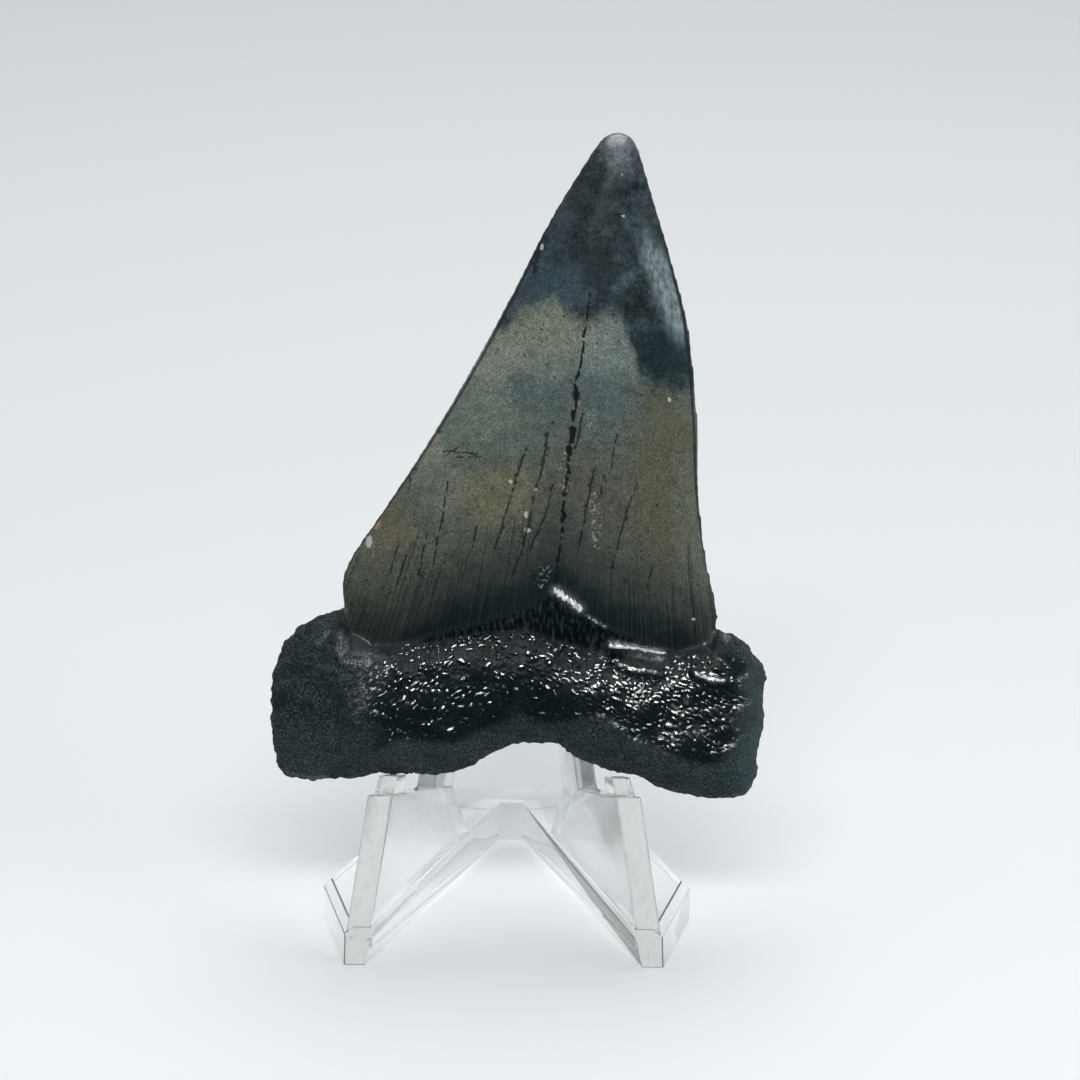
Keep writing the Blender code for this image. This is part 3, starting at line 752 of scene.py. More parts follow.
def carve_tooth(piece):
    """Shape the root, raise its relief, cut the cracks and store what the material reads."""
    settings = bpy.context.scene.fossil_tooth
    x, n, w = shape_root(piece)
    root = 1 - enamel_share(x, w)
    wrinkled = wrinkle_share(x, n, w)
    grain = grain_height(x, n, w, root > 0.01)
    raise_skin(piece, "grain", grain * root * (1 - 0.8 * wrinkled) * (1 - neck_share(x, w)), GRAIN_HEIGHT)
    wrinkles = wrinkle_height(x, n, w, wrinkled > 0.01)
    raise_skin(piece, "wrinkles", wrinkles * wrinkled, settings.wrinkle_height / MM)
    pale = pale_share(x, n, w)
    raise_skin(piece, "chips", chip_height(x, n, w, pale), CHIP_HEIGHT)
    x, n, w = tooth_coordinates(piece)
    deep = crack_share(DEEP_CRACKS, x, n, w)
    fine = np.maximum(crack_share(FINE_CRACKS, x, n, w), crack_share(SCRATCHES, x, n, w))
    raise_skin(piece, "cracks", np.maximum(deep, fine * 0.4), -CRACK_DEPTH)
    # Band painted pale as worn enamel and as the sheen of the light at the right
    sheen_streak = near_line(SHEEN_STREAK_LINE, x, w, 2.3) * rising(w, 41.0, 45.0) * (1 - 0.8 * rising(w, 50.0, 54.5))
    crumbs = [near_line(line, x, w, 0.9) for line in CRUMB_LINES]
    for name, values in (
        ("deep_crack", deep),
        ("fine_crack", fine),
        ("pale_spot", spot_share(PALE_SPOTS, x, n, w)),
        ("tan_spot", spot_share(TAN_SPOTS, x, n, w)),
        ("dark_spot", spot_share(DARK_SPOTS, x, n, w)),
        ("wrinkled", wrinkled),
        ("crest", wrinkles),
        ("pale", pale),
        ("sheen_streak", sheen_streak * rising(n, 0.0, 0.3)),
        ("crumbs", np.max(crumbs, axis=0) * rising(n, 0.0, 0.5)),
        ("neck", neck_share(x, w)),
        ("enamel", enamel_share(x, w)),
        ("above_neck", (w - line_level(ENAMEL_EDGE, x)) / ABOVE_NECK_SPAN),
    ):
        give_attribute(piece, name, values)


class Nodes:
    """Short ways to add and join the shader nodes of one node tree."""

    def __init__(self, tree):
        self.tree = tree

    def add(self, kind, **settings):
        """Add a node and give it its settings."""
        node = self.tree.nodes.new("ShaderNode" + kind)
        for name, value in settings.items():
            setattr(node, name, value)
        return node

    def feed(self, socket, value):
        """Join a socket's output to an input, or set the input to a plain value."""
        if isinstance(value, bpy.types.NodeSocket):
            self.tree.links.new(value, socket)
        elif value is not None:
            if socket.type == "RGBA" and len(value) == 3:
                value = (*value, 1.0)
            socket.default_value = value

    def feed_all(self, node, values):
        """Feed several inputs of a node by their names."""
        for name, value in values.items():
            self.feed(node.inputs[name], value)

    def maths(self, operation, first, second=None, third=None, clamp=False):
        """One step of arithmetic on numbers."""
        node = self.add("Math", operation=operation, use_clamp=clamp)
        for socket, value in zip(node.inputs, (first, second, third)):
            self.feed(socket, value)
        return node.outputs[0]

    def plus(self, first, second):
        """Sum of two numbers."""
        return self.maths("ADD", first, second)

    def minus(self, first, second):
        """First number less the second."""
        return self.maths("SUBTRACT", first, second)

    def times(self, first, second):
        """Product of two numbers."""
        return self.maths("MULTIPLY", first, second)

    def over(self, first, second):
        """First number divided by the second."""
        return self.maths("DIVIDE", first, second)

    def scaled(self, value, factor, offset):
        """Number times a factor, and an offset added."""
        return self.maths("MULTIPLY_ADD", value, factor, offset)

    def most(self, masks):
        """The largest of several masks."""
        largest = masks[0]
        for mask in masks[1:]:
            largest = self.maths("MAXIMUM", largest, mask)
        return largest

    def vector(self, operation, first, second=None, scale=None):
        """One step of arithmetic on vectors."""
        node = self.add("VectorMath", operation=operation)
        self.feed(node.inputs[0], first)
        self.feed(node.inputs[1], second)
        if scale is not None:
            self.feed(node.inputs["Scale"], scale)
        return node.outputs["Value" if operation in {"LENGTH", "DISTANCE", "DOT_PRODUCT"} else "Vector"]

    def ease(self, value, start, end, low=0.0, high=1.0):
        """Map a number from start..end to low..high, eased at both ends."""
        node = self.add("MapRange", interpolation_type="SMOOTHSTEP", clamp=True)
        self.feed_all(node, {"Value": value, "From Min": start, "From Max": end})
        self.feed_all(node, {"To Min": low, "To Max": high})
        return node.outputs["Result"]

    def blend(self, share, first, second, mode="MIX"):
        """Mix two colours."""
        node = self.add("Mix", data_type="RGBA", blend_type=mode)
        self.feed(node.inputs["Factor"], share)
        self.feed(node.inputs[6], first)
        self.feed(node.inputs[7], second)
        return node.outputs[2]

    def noise(self, place, scale, detail, roughness, colour=False):
        """Noise from 0 to 1, as a number or as three numbers."""
        node = self.add("TexNoise")
        self.feed_all(node, {"Vector": place, "Scale": scale, "Detail": detail, "Roughness": roughness})
        return node.outputs["Color" if colour else 0]

    def curve(self, value, points):
        """A smooth curve through (input, output) points, for numbers beyond 0..1 as well."""
        low_in, high_in = points[0][0], points[-1][0]
        outputs = [out for _, out in points]
        low_out, high_out = min(outputs), max(outputs)
        node = self.add("FloatCurve")
        line = node.mapping.curves[0]
        for index, (given, result) in enumerate(points):
            place = ((given - low_in) / (high_in - low_in), (result - low_out) / (high_out - low_out))
            if index in (0, len(points) - 1):
                line.points[-1 if index else 0].location = place
            else:
                line.points.new(*place)
        node.mapping.update()
        share = self.maths("DIVIDE", self.minus(value, low_in), high_in - low_in, clamp=True)
        self.feed(node.inputs["Value"], share)
        return self.scaled(node.outputs[0], high_out - low_out, low_out)

    def lay(self, colour, mask, strength, tint):
        """Lay a tint over a colour where a mask is, as strongly as given."""
        return self.blend(self.times(mask, strength), colour, tint)

    def ramp(self, value, stops):
        """Colours along a number from 0 to 1."""
        node = self.add("ValToRGB")
        ramp = node.color_ramp
        while len(ramp.elements) < len(stops):
            ramp.elements.new(0.5)
        for element, (place, colour) in zip(ramp.elements, stops):
            element.position = place
            element.color = (*colour, 1.0)
        self.feed(node.inputs[0], value)
        return node.outputs["Color"]

    def attribute(self, name):
        """A number stored on the piece's vertices."""
        return self.add("Attribute", attribute_type="GEOMETRY", attribute_name=name).outputs["Fac"]

    def split(self, kind, value):
        """The three parts of a vector (SeparateXYZ) or of a colour (SeparateColor)."""
        node = self.add(kind)
        self.feed(node.inputs[0], value)
        return node.outputs

    def bump(self, height):
        """Normal of a surface with a relief, whose height is in millimetres."""
        node = self.add("Bump")
        self.feed_all(node, {"Strength": 1.0, "Distance": MM, "Height": height})
        return node.outputs["Normal"]

    def mask(self, tree, values):
        """Place a node group with its values and return the mask that it puts out."""
        node = self.add("Group", node_tree=tree)
        self.feed_all(node, values)
        return node.outputs["Mask"]


def new_material(name):
    """Return a material, the helper for its node tree and its shader."""
    material = bpy.data.materials.new(name)
    material.use_nodes = True
    tree = material.node_tree
    return material, Nodes(tree), tree.nodes["Principled BSDF"]


def group_of_nodes(name, inputs, outputs):
    """Return a new node group, its helper, the values given to it by name, and its output node.

    An input without a default is a vector, and one with a default is a number.
    """
    tree = bpy.data.node_groups.new(name, "ShaderNodeTree")
    for socket, default in inputs.items():
        kind = VECTOR if default is None else NUMBER
        item = tree.interface.new_socket(socket, in_out="INPUT", socket_type=kind)
        if default is not None:
            item.default_value = default
    for socket, kind in outputs.items():
        tree.interface.new_socket(socket, in_out="OUTPUT", socket_type=kind)
    entry = tree.nodes.new("NodeGroupInput")
    result = tree.nodes.new("NodeGroupOutput")
    return tree, Nodes(tree), entry.outputs, result


def leaning_frame_group():
    """Group that turns Object coordinates into the tooth's own frame, in millimetres."""
    tree, nodes, _, result = group_of_nodes(
        "Leaning Frame", {}, {"Place": VECTOR, "Across": NUMBER, "Out": NUMBER, "Up": NUMBER})
    mapping = nodes.add("Mapping", vector_type="TEXTURE")
    nodes.feed_all(mapping, {
        "Vector": nodes.add("TexCoord").outputs["Object"],
        "Location": TOOTH_ORIGIN,
        "Rotation": (-LEAN, 0.0, 0.0),
        "Scale": (MM, MM, MM),
    })
    place = mapping.outputs[0]
    parts = nodes.split("SeparateXYZ", place)
    out = nodes.times(parts["Y"], -1.0)
    nodes.feed_all(result, {"Place": place, "Across": parts["X"], "Out": out, "Up": parts["Z"]})
    return tree


def patch_group():
    """Group for a soft round patch at a place, 1 inside and 0 outside."""
    known = bpy.data.node_groups.get("Soft Patch")
    if known:
        return known
    tree, nodes, given, result = group_of_nodes(
        "Soft Patch",
        {"Across": 0.0, "Up": 0.0, "Centre X": 0.0, "Centre W": 0.0, "Half Width": 1.0, "Half Height": 1.0,
         "Softness": 0.5},
        {"Mask": NUMBER})
    across = nodes.over(nodes.minus(given["Across"], given["Centre X"]), given["Half Width"])
    up = nodes.over(nodes.minus(given["Up"], given["Centre W"]), given["Half Height"])
    distance = nodes.maths("SQRT", nodes.plus(nodes.times(across, across), nodes.times(up, up)))
    inner = nodes.minus(1.0, given["Softness"])
    outer = nodes.plus(1.0, given["Softness"])
    nodes.feed(result.inputs["Mask"], nodes.ease(distance, inner, outer, 1.0, 0.0))
    return tree


def speck_group():
    """Group for small round specks, some cells of a pattern having one and others none."""
    tree, nodes, given, result = group_of_nodes(
        "Specks", {"Place": None, "Per Millimetre": 1.0, "Radius": 0.15, "Share": 0.3}, {"Mask": NUMBER})
    cells = nodes.add("TexVoronoi", feature="F1")
    nodes.feed_all(cells, {"Vector": given["Place"], "Scale": given["Per Millimetre"]})
    rolled = nodes.split("SeparateColor", cells.outputs["Color"])
    size = nodes.times(given["Radius"], nodes.plus(rolled["Green"], 0.3))
    dot = nodes.ease(nodes.over(cells.outputs["Distance"], size), 0.7, 1.1, 1.0, 0.0)
    filled = nodes.maths("LESS_THAN", rolled["Red"], given["Share"])
    nodes.feed(result.inputs["Mask"], nodes.times(dot, filled))
    return tree


def striation_group():
    """Group for fine straight grooves that fan out from above the tip down to the base."""
    tree, nodes, given, result = group_of_nodes(
        "Striations",
        {"Across": 0.0, "Up": 0.0, "Lines": 100.0, "Half Width": 0.15, "Lowest Top": 18.0,
         "Highest Top": 26.0, "Seed": 0.0},
        {"Mask": NUMBER})
    fan = nodes.over(nodes.minus(given["Across"], FAN_X), nodes.minus(FAN_W, given["Up"]))
    column = nodes.times(fan, given["Lines"])
    dice = nodes.add("TexWhiteNoise", noise_dimensions="1D")
    nodes.feed(dice.inputs["W"], nodes.plus(nodes.maths("FLOOR", column), given["Seed"]))
    rolled = nodes.split("SeparateColor", dice.outputs["Color"])
    centre = nodes.scaled(rolled["Red"], 0.5, 0.25)
    aside = nodes.maths("ABSOLUTE", nodes.minus(nodes.maths("FRACT", column), centre))
    thin = nodes.maths("SUBTRACT", 1.3, nodes.over(aside, given["Half Width"]), clamp=True)
    reach = nodes.times(rolled["Green"], rolled["Green"])
    spread = nodes.minus(given["Highest Top"], given["Lowest Top"])
    top = nodes.scaled(reach, spread, given["Lowest Top"])
    below = nodes.ease(nodes.minus(top, given["Up"]), 0.0, 1.6)
    strength = nodes.scaled(rolled["Blue"], 0.7, 0.3)
    nodes.feed(result.inputs["Mask"], nodes.times(nodes.times(thin, below), strength))
    return tree


class Fields:
    """Coordinates, noises and attributes that the tooth's patterns share, in the tooth's own frame."""

    def __init__(self, nodes):
        leaning = nodes.add("Group", node_tree=leaning_frame_group()).outputs
        self.place = leaning["Place"]
        self.x = leaning["Across"]
        self.n = leaning["Out"]
        self.w = leaning["Up"]
        shift = nodes.noise(self.place, 0.32, 5.0, 0.66, colour=True)
        shift = nodes.vector("SUBTRACT", shift, (0.5, 0.5, 0.5))
        wandering = nodes.vector("ADD", self.place, nodes.vector("SCALE", shift, scale=PATCH_WANDER))
        parts = nodes.split("SeparateXYZ", wandering)
        self.far_x = parts["X"]
        self.far_w = parts["Z"]
        self.fine = nodes.noise(self.place, 1.6, 6.0, 0.7)
        self.dust = nodes.noise(self.place, 5.0, 3.0, 0.7)
        self.broken = nodes.noise(self.place, 2.6, 2.0, 0.5)
        self.upright = nodes.noise(nodes.vector("MULTIPLY", self.place, (3.0, 3.0, 0.6)), 1.0, 3.0, 0.65)
        self.enamel = nodes.attribute("enamel")
        self.wrinkled = nodes.attribute("wrinkled")
        self.neck = nodes.attribute("neck")
        self.bare = nodes.minus(1.0, self.enamel)


def patch_mask(nodes, across, up, area, softness):
    """Mask of one soft patch, whose area is centre x, centre w, half width and half height."""
    values = dict(zip(("Centre X", "Centre W", "Half Width", "Half Height"), area))
    return nodes.mask(patch_group(), {"Across": across, "Up": up, "Softness": softness, **values})


def crown_colour(nodes, fields):
    """Khaki, blue-grey and olive of the crown."""
    settings = bpy.context.scene.fossil_tooth
    colour = nodes.ramp(nodes.maths("DIVIDE", fields.far_w, CROWN_TOP, clamp=True), (
        (0.300, tuple(settings.olive_colour)),
        (0.420, (0.118, 0.134, 0.108)),
        (0.520, (0.120, 0.148, 0.128)),
        (0.600, (0.112, 0.150, 0.144)),
        (0.670, tuple(settings.khaki_colour)),
        (0.720, (0.210, 0.245, 0.195)),
    ))
    for *area, tint, strength in CROWN_PATCHES:
        colour = nodes.lay(colour, patch_mask(nodes, fields.far_x, fields.far_w, area, 0.5), strength, tint)
    return colour


def tip_colour(nodes, fields):
    """Slate of the tip, mottled, with its pale worn end, which is also a painted highlight."""
    settings = bpy.context.scene.fossil_tooth
    colour = nodes.ramp(nodes.noise(fields.place, 0.55, 8.0, 0.74), (
        (0.36, (0.014, 0.020, 0.020)),
        (0.48, tuple(settings.slate_colour)),
        (0.62, (0.064, 0.090, 0.102)),
        (0.72, (0.110, 0.145, 0.158)),
    ))
    for *area, softness, tint, strength in TIP_PATCHES:
        mask = patch_mask(nodes, fields.far_x, fields.far_w, area, softness)
        colour = nodes.lay(colour, mask, strength, tint)
    # Paler worn end of the tip, partly a painted highlight where the tip curves up
    tip_wear_and_highlight = patch_mask(nodes, fields.x, fields.w, TIP_WEAR_AND_HIGHLIGHT_AREA, 0.95)
    tip_wear_and_highlight = nodes.times(tip_wear_and_highlight, nodes.ease(fields.fine, 0.30, 0.62, 0.30, 1.0))
    return nodes.lay(colour, tip_wear_and_highlight, 0.42, WORN_TIP_AND_HIGHLIGHT)


def tip_share(nodes, fields):
    """Where the slate of the tip covers the crown, above an uneven border."""
    above = nodes.minus(fields.w, nodes.curve(fields.x, TIP_BORDER))
    edge = nodes.noise(fields.place, 0.60, 7.0, 0.78)
    above = nodes.plus(above, nodes.scaled(edge, 7.0, -3.5))
    return nodes.ease(above, -1.5, 1.6)


def striation_masks(nodes, fields):
    """Dark and pale grooves of the crown's lower half, as two masks."""
    tree = striation_group()
    wobble = nodes.noise(fields.place, 0.5, 2.0, 0.5)
    across = nodes.plus(fields.x, nodes.scaled(wobble, 0.36, -0.18))
    masks = []
    for lines, half_width, lowest, highest, seed in STRIATIONS:
        masks.append(nodes.mask(tree, {
            "Across": across, "Up": fields.w, "Lines": lines, "Half Width": half_width,
            "Lowest Top": lowest, "Highest Top": highest, "Seed": seed,
        }))
    coarse, fine, pale = masks
    whole = nodes.ease(fields.broken, 0.24, 0.50, 0.20, 0.80)
    return nodes.times(nodes.most([coarse, fine]), whole), pale


def pepper_mask(nodes, fields):
    """Fine dark pepper in three sizes."""
    tree = speck_group()
    masks = []
    for per_mm, radius, portion in PEPPER_SIZES:
        values = {"Place": fields.place, "Per Millimetre": per_mm, "Radius": radius, "Share": portion}
        masks.append(nodes.mask(tree, values))
    return nodes.most(masks)


def mottled(nodes, fields, colour):
    """The enamel's colour, made uneven in coarse and in fine patches, with rust at the right."""
    coarse = nodes.noise(fields.place, 0.9, 8.0, 0.80)
    colour = nodes.blend(1.0, colour, nodes.ramp(coarse, COARSE_MOTTLE), "MULTIPLY")
    rust = nodes.times(nodes.ease(coarse, 0.56, 0.66), nodes.ease(fields.x, 11.5, 14.0))
    rust = nodes.times(rust, nodes.ease(fields.w, 36.0, 33.0, 0.0, 0.6))
    colour = nodes.blend(rust, colour, RUST)
    return nodes.blend(1.0, colour, nodes.ramp(fields.dust, FINE_MOTTLE), "MULTIPLY")


def darkened_foot(nodes, fields, colour):
    """The enamel's colour, darkened towards the crown's foot along an uneven level."""
    above_neck = nodes.times(nodes.attribute("above_neck"), ABOVE_NECK_SPAN)
    rise = nodes.noise(fields.place, 0.5, 4.0, 0.65)
    above_neck = nodes.plus(above_neck, nodes.scaled(rise, 4.0, -2.0))
    above_neck = nodes.plus(above_neck, nodes.ease(fields.x, -12.0, -4.0, 0.5, -1.6))
    above_neck = nodes.plus(above_neck, nodes.ease(fields.x, 16.5, 20.0, 0.0, 1.5))
    colour = nodes.blend(nodes.curve(above_neck, FOOT_DARKNESS), colour, FOOT_SHADE)
    return nodes.blend(nodes.ease(above_neck, -0.5, 2.2, 0.75, 0.0), colour, FOOT_BLACK)


def marked(nodes, fields, colour):
    """The enamel's colour with its grooves, a worn band by the right edge painted pale also as sheen,
    spots, cracks, crumbs and cutting edges.
    """
    dark, pale = striation_masks(nodes, fields)
    colour = nodes.lay(colour, pale, 0.14, PALE_GROOVE)
    colour = nodes.lay(colour, dark, 0.85, DARK_GROOVE)
    # Painted sheen of the light at the right, over worn enamel beside the right cutting edge
    worn = nodes.noise(nodes.vector("MULTIPLY", fields.place, (2.2, 2.2, 1.0)), 1.0, 5.0, 0.7)
    worn = nodes.scaled(nodes.ease(worn, 0.36, 0.66), 0.7, 0.3)
    sheen_streak = nodes.times(nodes.ease(nodes.attribute("sheen_streak"), 0.0, 1.0), worn)
    colour = nodes.lay(colour, sheen_streak, 0.95, WORN_SHEEN)
    for name, low, high, strength, tint in MARKS:
        colour = nodes.blend(nodes.ease(nodes.attribute(name), low, high, 0.0, strength), colour, tint)
    flakes = nodes.ease(nodes.noise(fields.place, 3.2, 3.0, 0.65), 0.53, 0.64)
    crumbs = nodes.times(flakes, nodes.ease(nodes.attribute("crumbs"), 0.10, 0.55))
    colour = nodes.lay(colour, crumbs, 0.62, CRUMB)
    cutting_edge = nodes.ease(nodes.maths("ABSOLUTE", fields.n), 0.02, 0.25, 0.85, 0.0)
    return nodes.blend(cutting_edge, colour, CUTTING_EDGE)


def enamel_colour(nodes, fields, tip):
    """Whole colour of the enamel: crown and tip with their wear."""
    colour = nodes.lay(crown_colour(nodes, fields), pepper_mask(nodes, fields), 0.65, PEPPER)
    colour = nodes.blend(tip, colour, tip_colour(nodes, fields))
    colour = mottled(nodes, fields, colour)
    colour = darkened_foot(nodes, fields, colour)
    return marked(nodes, fields, colour)


def root_colour(nodes, fields):
    """Black of the root, dusty where it isn't polished, lighter along the base also as a painted reflection
    of the table, streaked upright on the neck.
    """
    settings = bpy.context.scene.fossil_tooth
    dusty = nodes.ease(nodes.noise(fields.place, 0.45, 4.0, 0.66), 0.36, 0.64, 0.25, 1.0)
    dusty = nodes.times(nodes.ease(fields.dust, 0.45, 0.66), dusty)
    matt = nodes.blend(dusty, ROOT_MATT, ROOT_DUST)
    # Lighter towards the base: matt stone, and a painted reflection of the table below
    low = nodes.blend(nodes.ease(fields.dust, 0.40, 0.62), LOW_MATT_AND_TABLE_REFLECTION, LOW_DUST_AND_TABLE_REFLECTION)
    matt = nodes.blend(nodes.ease(fields.w, 6.5, 3.0, 0.0, 0.60), matt, low)
    matt = nodes.blend(nodes.ease(fields.x, 22.0, 24.2, 0.0, 0.30), matt, ROOT_DUST)
    polished = nodes.blend(dusty, tuple(settings.root_colour), POLISHED_DUST)
    neck = nodes.blend(nodes.ease(fields.upright, 0.46, 0.66), NECK_BLACK, NECK_STREAK)
    return nodes.blend(fields.neck, nodes.blend(fields.wrinkled, matt, polished), neck)


def tooth_bump(nodes, fields, pale):
    """Bumped normal: grit of the root, upright lines of the neck, fine scratches of the enamel."""
    rough_root = nodes.times(fields.bare, nodes.minus(1.0, fields.neck))
    grit = nodes.noise(fields.place, 2.6, 4.0, 0.65)
    grit = nodes.times(grit, nodes.ease(fields.wrinkled, 0.0, 1.0, 0.42, 0.05))
    grit = nodes.times(grit, rough_root)
    glint_grit = nodes.times(nodes.noise(fields.place, 6.0, 2.0, 0.5), 0.05)
    glint_grit = nodes.times(glint_grit, nodes.most([fields.wrinkled, pale]))
    upright = nodes.times(fields.upright, nodes.scaled(fields.neck, 0.22, 0.03))
    return nodes.bump(nodes.plus(nodes.plus(grit, glint_grit), upright))


def tooth_roughness(nodes, fields, tip, enamel):
    """Roughness of the enamel, duller at the crown's foot, and of the root."""
    enamel_rough = nodes.plus(nodes.ease(tip, 0.0, 1.0, 0.38, 0.30), nodes.scaled(fields.fine, 0.20, -0.10))
    foot = nodes.ease(nodes.attribute("above_neck"), 0.03, 0.14, 0.20, 0.0)
    enamel_rough = nodes.plus(enamel_rough, foot)
    root_rough = nodes.ease(fields.wrinkled, 0.0, 1.0, 0.56, 0.50)
    return nodes.plus(nodes.times(enamel_rough, enamel), nodes.times(root_rough, nodes.minus(1.0, enamel)))


def tooth_polish(nodes, fields, normal, tip, enamel, pale):
    """Polish on the crests of the wrinkles that face up, on broken edges, and a little on the tip."""
    upward = nodes.ease(nodes.split("SeparateXYZ", normal)["Z"], 0.36, 0.54)
    lowest = nodes.ease(fields.w, 8.0, 11.8, 0.04, 0.43)
    sparse = nodes.ease(nodes.noise(fields.place, 0.42, 3.0, 0.6), 0.36, 0.54, 0.30, 0.0)
    lowest = nodes.plus(lowest, sparse)
    lowest = nodes.plus(lowest, nodes.ease(fields.x, 3.0, 11.0, 0.05, -0.06))
    crests = nodes.ease(nodes.minus(nodes.attribute("crest"), lowest), 0.0, 0.07)
    return nodes.most([
        nodes.times(nodes.times(fields.wrinkled, fields.bare), nodes.times(crests, upward)),
        nodes.times(pale, 0.9),
        nodes.times(nodes.times(tip, enamel), 0.06),
    ])


def tooth_material():
    """Fossil enamel and root: slate tip, khaki and olive crown, black wrinkled root."""
    material, nodes, shader = new_material("fossil_tooth")
    fields = Fields(nodes)
    tip = tip_share(nodes, fields)
    enamel = nodes.ease(nodes.plus(fields.enamel, nodes.scaled(fields.broken, 0.5, -0.25)), 0.35, 0.65)
    # Pale grey and near-white: crusts and broken edges, and painted glints on the chips and ridges
    crust = nodes.attribute("pale")
    pale = nodes.times(crust, nodes.ease(fields.dust, 0.38, 0.60, 0.35, 1.0))
    pale_edge_and_glint = nodes.ease(nodes.times(crust, nodes.times(fields.upright, 1.7)), 0.60, 0.78)
    colour = nodes.blend(enamel, root_colour(nodes, fields), enamel_colour(nodes, fields, tip))
    colour = nodes.blend(pale, colour, CRUST_AND_GLINT_GREY)
    normal = tooth_bump(nodes, fields, pale)
    nodes.feed_all(shader, {
        "Base Color": nodes.blend(pale_edge_and_glint, colour, BROKEN_EDGE_AND_GLINT_WHITE),
        "Normal": normal,
        "Coat Normal": normal,
        "Roughness": tooth_roughness(nodes, fields, tip, enamel),
        "Coat Weight": tooth_polish(nodes, fields, normal, tip, enamel, pale),
        "Specular IOR Level": 0.022,
        "Coat Roughness": 0.09,
        "Coat IOR": 1.5,
    })
    return material


def stand_finish_group():
    """Group for the wear of moulded plastic: waves, scuffs and dust, in the object's own place."""
    tree, nodes, given, result = group_of_nodes(
        "Plastic Wear", {"Waves": 0.02}, {"Scuffs": NUMBER, "Normal": VECTOR})
    place = nodes.vector("SCALE", nodes.add("TexCoord").outputs["Object"], scale=1 / MM)
    waves = nodes.noise(place, 0.22, 1.0, 0.5)
    lines = nodes.noise(nodes.vector("MULTIPLY", place, (0.5, 0.5, 6.0)), 1.0, 1.0, 0.7)
    patches = nodes.ease(nodes.noise(place, 0.35, 1.0, 0.6), 0.50, 0.68)
    scuffs = nodes.times(nodes.ease(lines, 0.58, 0.70), patches)
    height = nodes.plus(nodes.times(waves, given["Waves"]), nodes.times(scuffs, 0.01))
    nodes.feed_all(result, {"Scuffs": scuffs, "Normal": nodes.bump(height)})
    return tree


def stand_marks(nodes, coordinates):
    """Small bubbles and scuffs on the front faces, as one mask."""
    place = nodes.vector("SUBTRACT", coordinates, (FEET_X, 0.0, 0.0))
    parts = nodes.split("SeparateXYZ", nodes.vector("SCALE", place, scale=1 / MM))
    return nodes.most([patch_mask(nodes, parts["X"], parts["Z"], area, 0.5) for area in STAND_MARKS])


def matt_colour(nodes, scuffs):
    """Colour of the matt front faces: faintly streaked, with scuffs and bubbles."""
    coordinates = nodes.add("TexCoord").outputs["Object"]
    streaks = nodes.noise(nodes.vector("MULTIPLY", coordinates, MATT_STREAKS_PER_METRE), 1.0, 3.0, 0.7)
    colour = nodes.lay(nodes.ramp(streaks, MATT_COLOURS), scuffs, 0.5, MATT_SCUFF)
    return nodes.lay(colour, stand_marks(nodes, coordinates), 0.5, STAND_MARK)


def clear_plastic(name, wear, matt=False, tint=PLASTIC_TINT, less_clear=0.0):
    """Moulded plastic, seen through by plain transmission: clear, with a matt front, or at an edge painted
    dark as shade.
    """
    settings = bpy.context.scene.fossil_stand
    material, nodes, shader = new_material(name)
    finish = nodes.add("Group", node_tree=wear)
    nodes.feed(finish.inputs["Waves"], 0.03 if matt else 0.02)
    scuffs = finish.outputs["Scuffs"]
    if matt:
        colour = matt_colour(nodes, scuffs)
        roughness = nodes.ease(scuffs, 0.0, 1.0, 0.42, 0.60)
        clearness = settings.matt_clearness
    else:
        colour = nodes.blend(scuffs, tint, PLASTIC_SCUFF)
        roughness = nodes.ease(scuffs, 0.0, 1.0, settings.roughness, 0.25)
        clearness = settings.clearness - less_clear
    nodes.feed_all(shader, {
        "Base Color": colour,
        "Roughness": roughness,
        "Normal": finish.outputs["Normal"],
        "Transmission Weight": clearness,
        "IOR": PLASTIC_IOR,
    })
    absorption = nodes.add("VolumeAbsorption")
    nodes.feed_all(absorption, {"Color": tuple(settings.depth_colour), "Density": PLASTIC_DENSITY})
    see_through = nodes.add("BsdfTransparent")
    nodes.feed(see_through.inputs["Color"], SHADOW_TINT)
    mix = nodes.add("MixShader")
    nodes.feed(mix.inputs[0], nodes.add("LightPath").outputs["Is Shadow Ray"])
    nodes.feed(mix.inputs[1], shader.outputs["BSDF"])
    nodes.feed(mix.inputs[2], see_through.outputs["BSDF"])
    output = material.node_tree.nodes["Material Output"]
    nodes.feed_all(output, {"Surface": mix.outputs["Shader"], "Volume": absorption.outputs["Volume"]})
    return material


